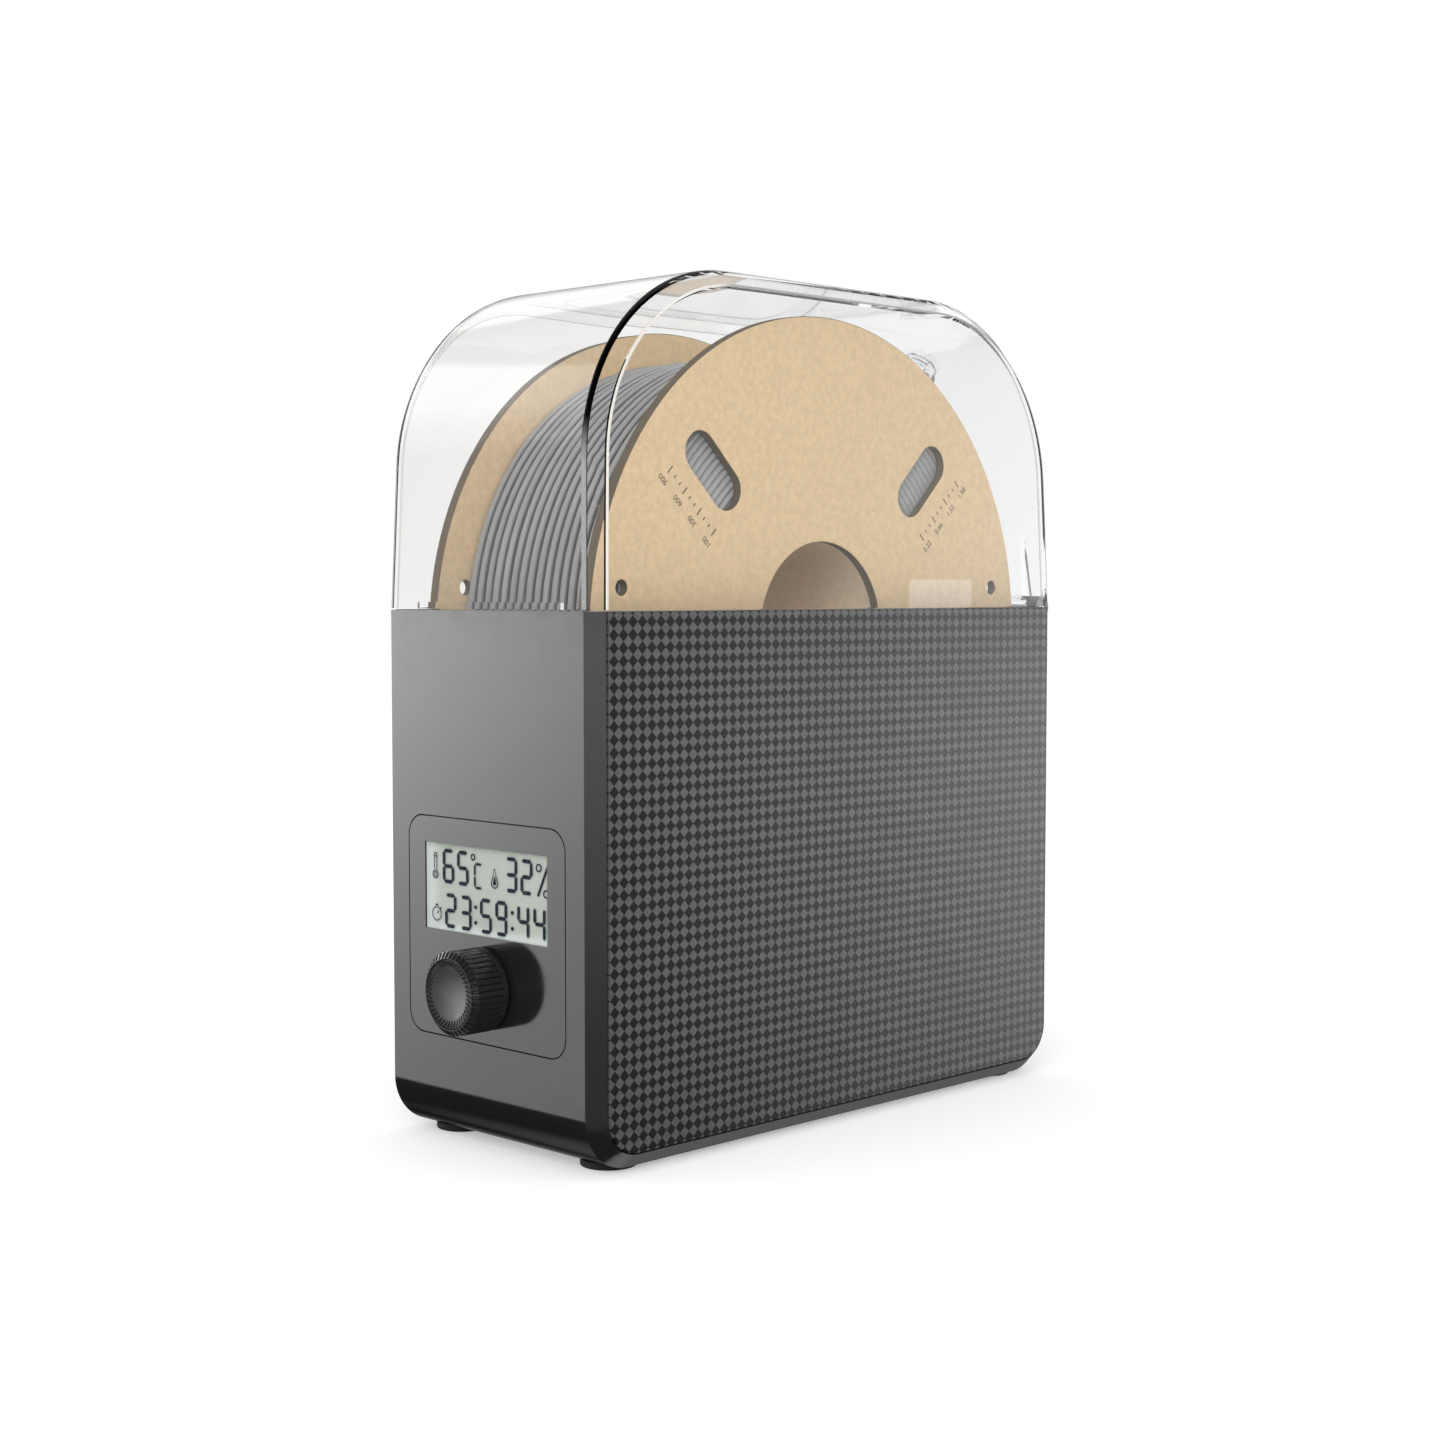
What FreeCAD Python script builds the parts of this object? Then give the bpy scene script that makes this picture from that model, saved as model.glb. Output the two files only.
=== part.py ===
"""Filament dryer box with a spool inside: a parametric assembly in millimetres, +Z up, front towards -Y."""
import FreeCAD, Part
import math
import os
import re

import Sketcher

Vector = FreeCAD.Vector
Rotation = FreeCAD.Rotation

# Driving dimensions: name, value, what it measures
SIZES = (
    ("case_width", 99.4, "across the box, over the side panels"),
    ("base_height", 163.1, "underside to the split between base and lid"),
    ("lid_room", 7.0, "spool to the top of the lid's inside"),
    ("edge_chamfer", 5.0, "bevel round both sides of the box"),
    ("inner_chamfer", 1.0, "bevel inside the base"),
    ("bottom_radius", 16.5, "front and rear bottom corners"),
    ("lid_radius", 60.0, "front and rear top corners of the lid"),
    ("lid_draft", 1.7, "lean of the lid's walls in degrees"),
    ("wall", 3.0, "base wall"),
    ("lid_wall", 2.6, "lid wall"),
    ("tray_height", 13.1, "underside to the tray's seam"),
    ("tray_floor", 2.6, "floor of the bottom tray"),
    ("split_gap", 0.5, "closed lid above the base"),
    ("seam", 0.4, "visible joint round panels"),
    ("fit", 0.3, "loose fit of an inner piece"),
    ("running", 0.05, "radial clearance of a turning fit"),
    ("panel_thickness", 2.0, "side panels"),
    ("seal_width", 1.2, "lid seal"),
    ("seal_groove", 0.8, "depth of the seal's groove"),
    ("seal_proud", 0.2, "seal above the rim"),
    ("seal_inset", 0.9, "seal in from the outer face of the rim"),
    ("foot_height", 1.4, "feet below the underside"),
    ("foot_recess", 0.8, "feet into the tray"),
    ("foot_radius", 8.6, "feet"),
    ("foot_round", 0.5, "rounding of the feet"),
    ("foot_side_inset", 15.7, "feet in from the side faces"),
    ("foot_inset", 19.1, "feet in from the front and rear faces"),
    ("control_width", 72.6, "control panel"),
    ("control_height", 67.2, "control panel"),
    ("control_radius", 6.5, "corners of the control panel"),
    ("control_level", 66.2, "control panel's middle above the underside"),
    ("control_thickness", 1.8, "control panel"),
    ("control_ledge", 3.2, "rim of the front wall behind the panel"),
    ("lcd_side_room", 7.8, "display window in from the panel's sides"),
    ("lcd_height", 26.8, "display window"),
    ("lcd_level", 78.5, "display's middle above the underside"),
    ("lens_thickness", 1.0, "display lens"),
    ("lens_sink", 0.2, "lens behind the panel's face"),
    ("module_border", 3.0, "display module past its window"),
    ("module_depth", 5.0, "display module"),
    ("board_thickness", 1.6, "circuit boards"),
    ("board_margin", 1.0, "display board inside the wall's opening"),
    ("boss_radius", 2.6, "board bosses"),
    ("boss_edge_room", 4.1, "board bosses in from the board's sides"),
    ("boss_rise", 8.0, "board bosses above and below the knob"),
    ("board_screw_radius", 1.0, "board screws"),
    ("screw_head", 1.2, "height of a screw's head"),
    ("knob_level", 49.4, "knob's axis above the underside"),
    ("knob_radius", 12.7, "knob"),
    ("knob_gap", 1.0, "knob off the panel"),
    ("knob_length", 13.2, "knob"),
    ("knob_bevel", 1.6, "front edge of the knob"),
    ("knob_web", 1.4, "knob material ahead of its shaft"),
    ("flute_count", 36, "grooves round the knob"),
    ("flute_width", 0.5, "grooves round the knob"),
    ("flute_depth", 0.4, "grooves round the knob"),
    ("cap_radius", 10.4, "knob's dished cap"),
    ("cap_thickness", 2.0, "knob's dished cap"),
    ("dish_radius", 8.8, "hollow of the cap"),
    ("dish_depth", 1.1, "hollow of the cap"),
    ("encoder_width", 13.0, "rotary encoder"),
    ("shaft_radius", 3.0, "encoder shaft"),
    ("bushing_radius", 3.8, "encoder bushing"),
    ("shaft_tail", 1.9, "shaft behind the panel's back"),
    ("plunger_length", 0.9, "push switch's plunger"),
    ("press_travel", 0.7, "knob's push"),
    ("deck_level", 44.6, "chamber floor above the underside"),
    ("roller_room", 6.21, "rollers' lips above the chamber floor"),
    ("deck_thickness", 2.0, "chamber floor"),
    ("ledge_width", 3.0, "ledge under the chamber floor"),
    ("ledge_height", 3.0, "ledge under the chamber floor"),
    ("vent_count", 7, "slots in the chamber floor"),
    ("vent_pitch", 6.0, "slots in the chamber floor"),
    ("vent_width", 3.2, "slots in the chamber floor"),
    ("vent_length", 40.0, "slots in the chamber floor"),
    ("cover_depth", 14.6, "space behind the front wall"),
    ("cover_level", 106.6, "top of the electronics cover above the underside"),
    ("cover_thickness", 2.0, "electronics cover"),
    ("sensor_width", 16.0, "humidity sensor"),
    ("sensor_height", 10.0, "humidity sensor"),
    ("sensor_depth", 5.0, "humidity sensor"),
    ("sensor_level", 84.0, "humidity sensor above the underside"),
    ("duct_size", 60.0, "heater duct and fan, square"),
    ("duct_height", 14.0, "heater duct"),
    ("core_width", 40.0, "heater core, across"),
    ("core_depth", 54.0, "heater core, front to rear"),
    ("core_height", 10.0, "heater core"),
    ("fin_count", 8, "channels of the heater core"),
    ("fin_channel", 3.0, "channels of the heater core"),
    ("fan_height", 15.0, "fan"),
    ("fan_bore", 28.0, "fan frame's bore"),
    ("fan_tip_gap", 0.8, "blade tips inside the bore"),
    ("fan_hub", 12.0, "fan hub"),
    ("fan_base", 4.0, "fan's motor plate"),
    ("fan_strut", 4.0, "arms of the motor plate"),
    ("blade_count", 7, "fan blades"),
    ("blade_thickness", 1.6, "fan blades"),
    ("blade_chord", 12.0, "fan blades"),
    ("blade_pitch", 40.0, "fan blades, in degrees"),
    ("rotor_height", 9.5, "fan rotor"),
    ("pivot_radius", 1.5, "fan rotor's pivot"),
    ("fan_screw_spread", 25.0, "fan screws from the fan's axis"),
    ("fan_screw_radius", 1.5, "fan screws"),
    ("fan_screw_bite", 8.0, "fan screws into the duct"),
    ("power_side_room", 14.7, "power board in from the side faces"),
    ("power_depth", 48.0, "power board"),
    ("power_offset", 66.0, "power board's middle behind the middle of the box"),
    ("standoff_height", 6.0, "posts under the power board"),
    ("standoff_radius", 3.0, "posts under the power board"),
    ("standoff_inset", 4.0, "posts in from the board's edge"),
    ("coil_width", 24.0, "transformer"),
    ("coil_depth", 20.0, "transformer"),
    ("coil_height", 18.0, "transformer"),
    ("capacitor_radius", 5.0, "capacitors"),
    ("capacitor_height", 16.0, "capacitors"),
    ("inlet_width", 27.0, "power inlet body"),
    ("inlet_height", 20.0, "power inlet body"),
    ("inlet_depth", 21.0, "power inlet body inside the rear face"),
    ("inlet_flange", 2.0, "power inlet's rim past its body"),
    ("inlet_proud", 1.5, "power inlet's rim off the rear face"),
    ("inlet_wall", 1.6, "power inlet"),
    ("inlet_recess", 17.0, "depth of the socket"),
    ("inlet_corner", 3.5, "cut corners of the socket"),
    ("inlet_level", 28.0, "power inlet above the underside"),
    ("inlet_offset", 22.0, "power inlet from the middle"),
    ("blade_pin_width", 2.0, "inlet pins"),
    ("blade_pin_height", 4.0, "inlet pins"),
    ("blade_pin_length", 11.0, "inlet pins in the socket"),
    ("blade_pin_spread", 7.0, "inlet pins, outer from middle"),
    ("blade_pin_lift", 2.0, "middle inlet pin above the outer ones"),
    ("tray_post_radius", 4.0, "screw posts of the base"),
    ("tray_post_spread", 72.0, "screw posts from the middle, front and rear"),
    ("tray_screw_radius", 1.4, "tray screws"),
    ("tray_screw_head", 3.0, "tray screws"),
    ("tray_screw_bite", 8.0, "tray screws into the posts"),
    ("intake_count", 7, "slots under the fan"),
    ("intake_pitch", 7.0, "slots under the fan"),
    ("intake_width", 3.0, "slots under the fan"),
    ("intake_length", 46.0, "slots under the fan"),
    ("hinge_reach", 4.5, "hinge axis behind the rear face"),
    ("hinge_radius", 4.0, "hinge knuckles"),
    ("hinge_spread", 30.0, "hinges from the middle"),
    ("hinge_pin_radius", 1.5, "hinge pins"),
    ("knuckle_length", 11.4, "lid's knuckle"),
    ("ear_length", 4.0, "base's ears"),
    ("ear_drop", 12.0, "base's ears below the split"),
    ("gusset_height", 20.0, "ribs above the lid's knuckles"),
    ("gusset_width", 2.0, "ribs above the lid's knuckles"),
    ("rim_width", 66.0, "thick lower rim inside the lid's front"),
    ("rim_height", 2.0, "thick lower rim inside the lid's front"),
    ("rim_depth", 1.6, "thick lower rim inside the lid's front"),
    ("outlet_angle", 45.0, "filament outlet's lean, in degrees"),
    ("outlet_boss", 7.0, "boss round the filament outlet"),
    ("outlet_rise", 3.0, "boss past both faces of the lid's wall"),
    ("outlet_radius", 5.0, "filament outlet fitting"),
    ("outlet_collar", 6.5, "collar of the outlet fitting"),
    ("outlet_collar_height", 3.0, "collar of the outlet fitting"),
    ("outlet_bore", 2.1, "tube bore of the outlet fitting"),
    ("spool_radius", 100.0, "spool flange"),
    ("spool_side_room", 13.3, "spool in from the side faces"),
    ("spool_end_room", 9.6, "spool in from the front and rear faces"),
    ("flange_thickness", 3.6, "spool flange"),
    ("hub_radius", 28.7, "hole through the spool"),
    ("core_radius", 32.0, "outside of the spool's core tube"),
    ("slot_circle", 70.0, "middle of the flange's slots from the axis"),
    ("slot_width", 13.0, "flange slots"),
    ("slot_length", 28.6, "flange slots"),
    ("rim_hole_circle", 89.0, "flange rim holes from the axis"),
    ("rim_hole_radius", 2.4, "flange rim holes"),
    ("rim_hole_angle", 9.0, "flange rim holes above level, in degrees"),
    ("pack_radius", 86.7, "outside of the wound filament"),
    ("strand_gap", 0.5, "outer winding, between its turns"),
    ("strand_room", 0.75, "outer winding off the flanges"),
    ("strand_turns", 16, "outer winding"),
    ("label_width", 33.0, "blank label on the flange"),
    ("label_height", 24.0, "blank label on the flange"),
    ("label_thickness", 0.2, "blank label on the flange"),
    ("label_offset", 60.0, "label's middle behind the axis"),
    ("label_lift", 4.7, "label's middle above the axis"),
    ("roller_radius", 8.0, "rollers"),
    ("roller_gap", 0.3, "rollers off the spool's rim"),
    ("roller_angle", 30.0, "rollers from straight under the spool, in degrees"),
    ("roller_width", 9.0, "rollers"),
    ("roller_lip", 1.4, "rollers' lips past their tread"),
    ("roller_lip_width", 1.5, "rollers' lips"),
    ("roller_shaft_radius", 2.5, "roller shafts"),
    ("spacer_radius", 4.0, "sleeve between the rollers"),
    ("cradle_thickness", 3.0, "roller cradles"),
    ("cradle_foot", 4.0, "foot strip of the cradles"),
    ("cradle_tower", 6.5, "half width of the cradles' towers"),
)

# Places worked out from the driving dimensions
PLACES = (
    ("knob_proud", "knob_gap + knob_length"),
    ("hinge_proud", "hinge_reach + hinge_radius"),
    ("case_y", "(knob_proud - hinge_proud) / 2"),
    ("case_depth", "2 * (spool_radius + spool_end_room)"),
    ("front_y", "case_y - case_depth / 2"),
    ("rear_y", "case_y + case_depth / 2"),
    ("inner_front_y", "front_y + wall"),
    ("inner_rear_y", "rear_y - wall"),
    ("half_width", "case_width / 2"),
    ("chamber_x", "half_width - panel_thickness - wall"),
    ("bottom_z", "foot_height"),
    ("floor_z", "bottom_z + tray_floor"),
    ("tray_z", "bottom_z + tray_height"),
    ("split_z", "bottom_z + base_height"),
    ("lid_z", "split_z + split_gap"),
    ("control_z", "bottom_z + control_level"),
    ("lcd_z", "bottom_z + lcd_level"),
    ("knob_z", "bottom_z + knob_level"),
    ("lcd_width", "control_width - 2 * lcd_side_room"),
    ("opening_width", "control_width - 2 * control_ledge"),
    ("boss_spread", "opening_width / 2 - board_margin - boss_edge_room"),
    ("opening_height", "control_height - 2 * control_ledge"),
    ("panel_back_y", "front_y + control_thickness"),
    ("board_y", "panel_back_y + module_depth"),
    ("board_back_y", "board_y + board_thickness"),
    ("knob_back_y", "front_y - knob_gap"),
    ("knob_front_y", "knob_back_y - knob_length"),
    ("shaft_end_y", "panel_back_y + shaft_tail"),
    ("plunger_y", "shaft_end_y + 2 * running"),
    ("plunger_room_y", "plunger_y + plunger_length + press_travel + fit"),
    ("deck_z", "bottom_z + deck_level"),
    ("deck_top_z", "deck_z + deck_thickness"),
    ("roller_orbit", "spool_radius + roller_gap + roller_radius"),
    ("roller_dy", "roller_orbit * sin(roller_angle * 1 deg)"),
    ("roller_z", "deck_top_z + roller_room + roller_lip + roller_radius"),
    ("spool_z", "roller_z + roller_orbit * cos(roller_angle * 1 deg)"),
    ("top_z", "spool_z + spool_radius + lid_room + lid_wall"),
    ("cover_y", "inner_front_y + cover_depth"),
    ("cover_z", "bottom_z + cover_level"),
    ("duct_z", "deck_z - duct_height"),
    ("fan_z", "duct_z - fan_height"),
    ("rotor_z", "fan_z + fan_base + fit"),
    ("foot_spread", "half_width - foot_side_inset"),
    ("power_width", "case_width - 2 * power_side_room"),
    ("power_y", "case_y + power_offset"),
    ("power_z", "floor_z + standoff_height"),
    ("inlet_z", "bottom_z + inlet_level"),
    ("hinge_y", "rear_y + hinge_reach"),
    ("lid_arc_z", "top_z - lid_radius"),
    ("lid_arc_y",
     "rear_y - (lid_arc_z - lid_z) * tan(lid_draft * 1 deg) - lid_radius / cos(lid_draft * 1 deg)"),
    ("spool_width", "case_width - 2 * spool_side_room"),
    ("flange_x", "spool_width / 2 - flange_thickness"),
    ("strand_pitch", "(2 * flange_x - 2 * strand_room + strand_gap) / (strand_turns + 1)"),
    ("strand_radius", "(strand_pitch - strand_gap) / 2"),
    ("roller_x", "flange_x + flange_thickness / 2"),
    ("roller_end_x", "roller_x + roller_width / 2"),
    ("cradle_x", "roller_end_x + fit"),
)

doc = FreeCAD.newDocument("filament_dryer_box")
nodes = []


def fill_sheet(name, rows, formula):
    """A spreadsheet with one named cell a row."""
    sheet = doc.addObject("Spreadsheet::Sheet", name)
    for number, (alias, content, *note) in enumerate(rows, start=1):
        sheet.set(f"A{number}", alias)
        sheet.set(f"B{number}", "=" + bound(content) if formula else str(content))
        sheet.set(f"C{number}", " ".join(note))
        sheet.setAlias(f"B{number}", alias)
    return sheet


SHEET_OF = {row[0]: "dims" for row in SIZES} | {row[0]: "places" for row in PLACES}


def bound(expression):
    """The expression with each named size or place led by its sheet."""
    return re.sub(r"[a-z_]+",
                  lambda word: f"{SHEET_OF[word[0]]}.{word[0]}" if word[0] in SHEET_OF else word[0],
                  str(expression))


fill_sheet("dims", SIZES, formula=False)
places = fill_sheet("places", PLACES, formula=True)
doc.recompute()


def number(expression):
    """The value of an expression on the sheets."""
    return float(places.evalExpression(bound(expression)))


def bind(thing, **expressions):
    """Ties properties to the sheets. A double underscore stands for a dot."""
    for name, expression in expressions.items():
        thing.setExpression(name.replace("__", "."), bound(expression))


def node(thing):
    """Marks an object as a sub-part to be written."""
    nodes.append(thing)
    return thing


def move(thing, at):
    """Ties an object's place to three expressions."""
    bind(thing, Placement__Base__x=at[0], Placement__Base__y=at[1], Placement__Base__z=at[2])
    return thing


def box(name, low, high):
    """A block between two corners."""
    block = doc.addObject("Part::Box", name)
    spans = [f"({top}) - ({bottom})" for bottom, top in zip(low, high)]
    bind(block, Length=spans[0], Width=spans[1], Height=spans[2])
    return move(block, low)


ALONG = {
    "x": Rotation(Vector(0, 0, 1), Vector(1, 0, 0)),
    "y": Rotation(Vector(0, 0, 1), Vector(0, 1, 0)),
    "z": Rotation(),
}


def cylinder(name, radius, length, at, axis="z"):
    """A cylinder that starts at a point and runs along +X, +Y or +Z."""
    rod = doc.addObject("Part::Cylinder", name)
    bind(rod, Radius=radius, Height=length)
    rod.Placement.Rotation = ALONG[axis]
    return move(rod, at)


def fuse(name, *pieces):
    union = doc.addObject("Part::MultiFuse", name)
    union.Shapes = pieces
    union.Refine = True
    return union


def cut(name, base, *tools):
    result = doc.addObject("Part::Cut", name)
    result.Base = base
    result.Tool = tools[0] if len(tools) == 1 else fuse(name + "_cutters", *tools)
    result.Refine = True
    return result


def common(name, base, tool):
    result = doc.addObject("Part::Common", name)
    result.Base = base
    result.Tool = tool
    return result


def group(name, pieces):
    """Separate solids kept as one sub-part."""
    bundle = doc.addObject("Part::Compound", name)
    bundle.Links = list(pieces)
    return node(bundle)


def new_body(name):
    return doc.addObject("PartDesign::Body", name)


def new_sketch(body, name, role, at):
    """A sketch on one of the body's own planes, moved by its attachment offset."""
    sketch = body.newObject("Sketcher::SketchObject", name)
    plane = next(feature for feature in body.Origin.OriginFeatures if feature.Role == role)
    sketch.AttachmentSupport = [(plane, "")]
    sketch.MapMode = "FlatFace"
    for axis, place in zip("xyz", at):
        sketch.setExpression(f"AttachmentOffset.Base.{axis}", bound(place))
    return sketch


def dimension(sketch, kind, name, expression, *where):
    """A named dimension tied to the sheets."""
    index = sketch.addConstraint(Sketcher.Constraint(kind, *where, number(expression)))
    sketch.renameConstraint(index, name)
    sketch.setExpression(f"Constraints.{name}", bound(expression))


def rectangle(sketch, breadth, rise):
    """A rectangle with its lower left corner at the sketch's origin."""
    wide, high = number(breadth), number(rise)
    corners = [Vector(0, 0), Vector(wide, 0), Vector(wide, high), Vector(0, high)]
    for index, corner in enumerate(corners):
        sketch.addGeometry(Part.LineSegment(corner, corners[(index + 1) % 4]))
    for index, direction in enumerate(("Horizontal", "Vertical") * 2):
        sketch.addConstraint(Sketcher.Constraint("Coincident", index, 2, (index + 1) % 4, 1))
        sketch.addConstraint(Sketcher.Constraint(direction, index))
    sketch.addConstraint(Sketcher.Constraint("Coincident", 0, 1, -1, 1))
    dimension(sketch, "DistanceX", "breadth", breadth, 0, 1, 0, 2)
    dimension(sketch, "DistanceY", "rise", rise, 1, 1, 1, 2)


def circle(sketch, radius):
    """A circle round the sketch's origin."""
    index = sketch.addGeometry(Part.Circle(Vector(), Vector(0, 0, 1), number(radius)))
    sketch.addConstraint(Sketcher.Constraint("Coincident", index, 3, -1, 1))
    dimension(sketch, "Radius", f"radius_{index}", radius, index)


def pad(body, sketch, length, taper=None):
    feature = body.newObject("PartDesign::Pad", f"{body.Label}_pad")
    feature.Profile = sketch
    bind(feature, Length=length)
    if taper:
        bind(feature, TaperAngle=taper)
    doc.recompute()
    return feature


def edges_where(feature, test):
    return [f"Edge{index}" for index, edge in enumerate(feature.Shape.Edges, start=1) if test(edge)]


def soften(body, kind, size, test):
    """A fillet or a chamfer on the edges that pass a test."""
    base = body.Tip
    feature = body.newObject(f"PartDesign::{kind}", f"{body.Label}_{kind.lower()}")
    feature.Base = (base, edges_where(base, test))
    bind(feature, **{"Radius" if kind == "Fillet" else "Size": size})
    doc.recompute()
    return feature


def runs_along(axis):
    """A test for straight edges along one axis."""
    return lambda edge: abs(abs(getattr(edge.tangentAt(edge.FirstParameter), axis)) - 1) < 1e-6


PLANE = {"x": "YZ_Plane", "y": "XZ_Plane", "z": "XY_Plane"}


def plate(name, low, high, through="z", corner=None, kind="Fillet"):
    """A block between two corners, padded through one axis, with its four edges along it rounded or cut."""
    body = new_body(name)
    spans = [f"({top}) - ({bottom})" for bottom, top in zip(low, high)]
    if through == "x":
        sketch = new_sketch(body, name + "_outline", PLANE["x"], (low[1], low[2], low[0]))
        rectangle(sketch, spans[1], spans[2])
        pad(body, sketch, spans[0])
    elif through == "y":
        sketch = new_sketch(body, name + "_outline", PLANE["y"], (low[0], low[2], f"-({high[1]})"))
        rectangle(sketch, spans[0], spans[2])
        pad(body, sketch, spans[1])
    else:
        sketch = new_sketch(body, name + "_outline", PLANE["z"], low)
        rectangle(sketch, spans[0], spans[1])
        pad(body, sketch, spans[2])
    if corner:
        soften(body, kind, corner, runs_along(through))
    return body


def case_block(name, half_width, y_span, z_span, radius, chamfer, lid=False):
    """A block with bevelled sides and round front and rear corners, at its top for a lid."""
    body = new_body(name)
    sketch = new_sketch(body, name + "_outline", "XY_Plane", (f"-({half_width})", y_span[0], z_span[0]))
    rectangle(sketch, f"2 * ({half_width})", f"({y_span[1]}) - ({y_span[0]})")
    pad(body, sketch, f"({z_span[1]}) - ({z_span[0]})", "-lid_draft" if lid else None)
    rounded, open_edge = (z_span[1], z_span[0]) if lid else z_span
    rounded_z, open_z = number(rounded), number(open_edge)

    def on_rounded_end(edge):
        level = edge.BoundBox
        return level.XLength > 1 and level.YLength < 1e-3 and abs(level.ZMax - rounded_z) < 1e-3

    def on_a_side(edge):
        level = edge.BoundBox
        at_open_end = abs(level.ZMin - open_z) < 1e-3 and abs(level.ZMax - open_z) < 1e-3
        return not at_open_end and abs(edge.CenterOfMass.x) > number(half_width) * 0.8

    soften(body, "Fillet", radius, on_rounded_end)
    soften(body, "Chamfer", chamfer, on_a_side)
    return body


SIDES = (("left", -1), ("right", 1))
ENDS = (("front", -1), ("rear", 1))


def mirrored(side, low, high):
    """A span across the middle, taken to the left or to the right."""
    return (low, high) if side > 0 else (f"-({high})", f"-({low})")


def case():
    """Base shell, bottom tray, side panels, feet and tray screws."""
    outer = case_block("case_outer", "half_width", ("front_y", "rear_y"), ("bottom_z", "split_z"),
                       "bottom_radius", "edge_chamfer")
    inner = case_block("case_inner", "chamber_x", ("inner_front_y", "inner_rear_y"),
                       ("floor_z", "split_z + wall"),
                       "bottom_radius - wall", "inner_chamfer")
    hull = cut("case_hull", outer, inner)
    pockets = []
    for side_name, side in SIDES:
        for name, gap in ((f"side_panel_{side_name}", "0"), (f"panel_pocket_{side_name}", "seam")):
            reach = "0" if gap == "0" else "wall"
            x_span = mirrored(side, "half_width - panel_thickness", f"half_width + {reach}")
            low = (x_span[0], f"front_y + edge_chamfer - {gap}", f"bottom_z + edge_chamfer - {gap}")
            high = (x_span[1], f"rear_y - edge_chamfer + {gap}", f"split_z + {reach}")
            panel = new_body(name)
            sketch = new_sketch(panel, name + "_outline", "YZ_Plane", (low[1], low[2], low[0]))
            rectangle(sketch, f"{high[1]} - ({low[1]})", f"{high[2]} - ({low[2]})")
            pad(panel, sketch, f"{high[0]} - ({low[0]})")
            lowest = number(low[2])
            soften(panel, "Fillet", f"bottom_radius - edge_chamfer + {gap}",
                   lambda edge: runs_along("x")(edge) and abs(edge.CenterOfMass.z - lowest) < 1e-3)
            if gap == "0":
                node(panel)
            else:
                pockets.append(panel)
    recessed = cut("case_recessed", hull, *pockets)
    far = "case_depth"
    upper = common("case_upper", recessed, box("upper_space", (f"-{far}", f"-{far}", "tray_z"),
                                               (far, far, "top_z")))
    lower = common("case_lower", recessed, box("lower_space", (f"-{far}", f"-{far}", "0"),
                                               (far, far, "tray_z")))
    base_shell(upper)
    bottom_tray(lower)
    for end_name, end in ENDS:
        for side_name, side in SIDES:
            foot(f"foot_{end_name}_{side_name}", *foot_place(side, end))


def foot_place(side, end):
    y = "front_y + foot_inset" if end < 0 else "rear_y - foot_inset"
    return (f"{side} * foot_spread", y)


def foot(name, x, y):
    """A round rubber foot with a softened lower edge, let into the tray."""
    body = new_body(name)
    sketch = new_sketch(body, name + "_outline", "XY_Plane", ("0", "0", "0"))
    circle(sketch, "foot_radius")
    pad(body, sketch, "foot_height + foot_recess")
    soften(body, "Fillet", "foot_round", lambda edge: edge.BoundBox.ZMax < 1e-3)
    node(move(body, (x, y, "0")))


def post_places():
    for _, side in SIDES:
        for _, end in ENDS:
            x = f"{side} * (chamber_x - inner_chamfer - tray_post_radius)"
            yield side, x, f"case_y + {end} * tray_post_spread"


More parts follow.
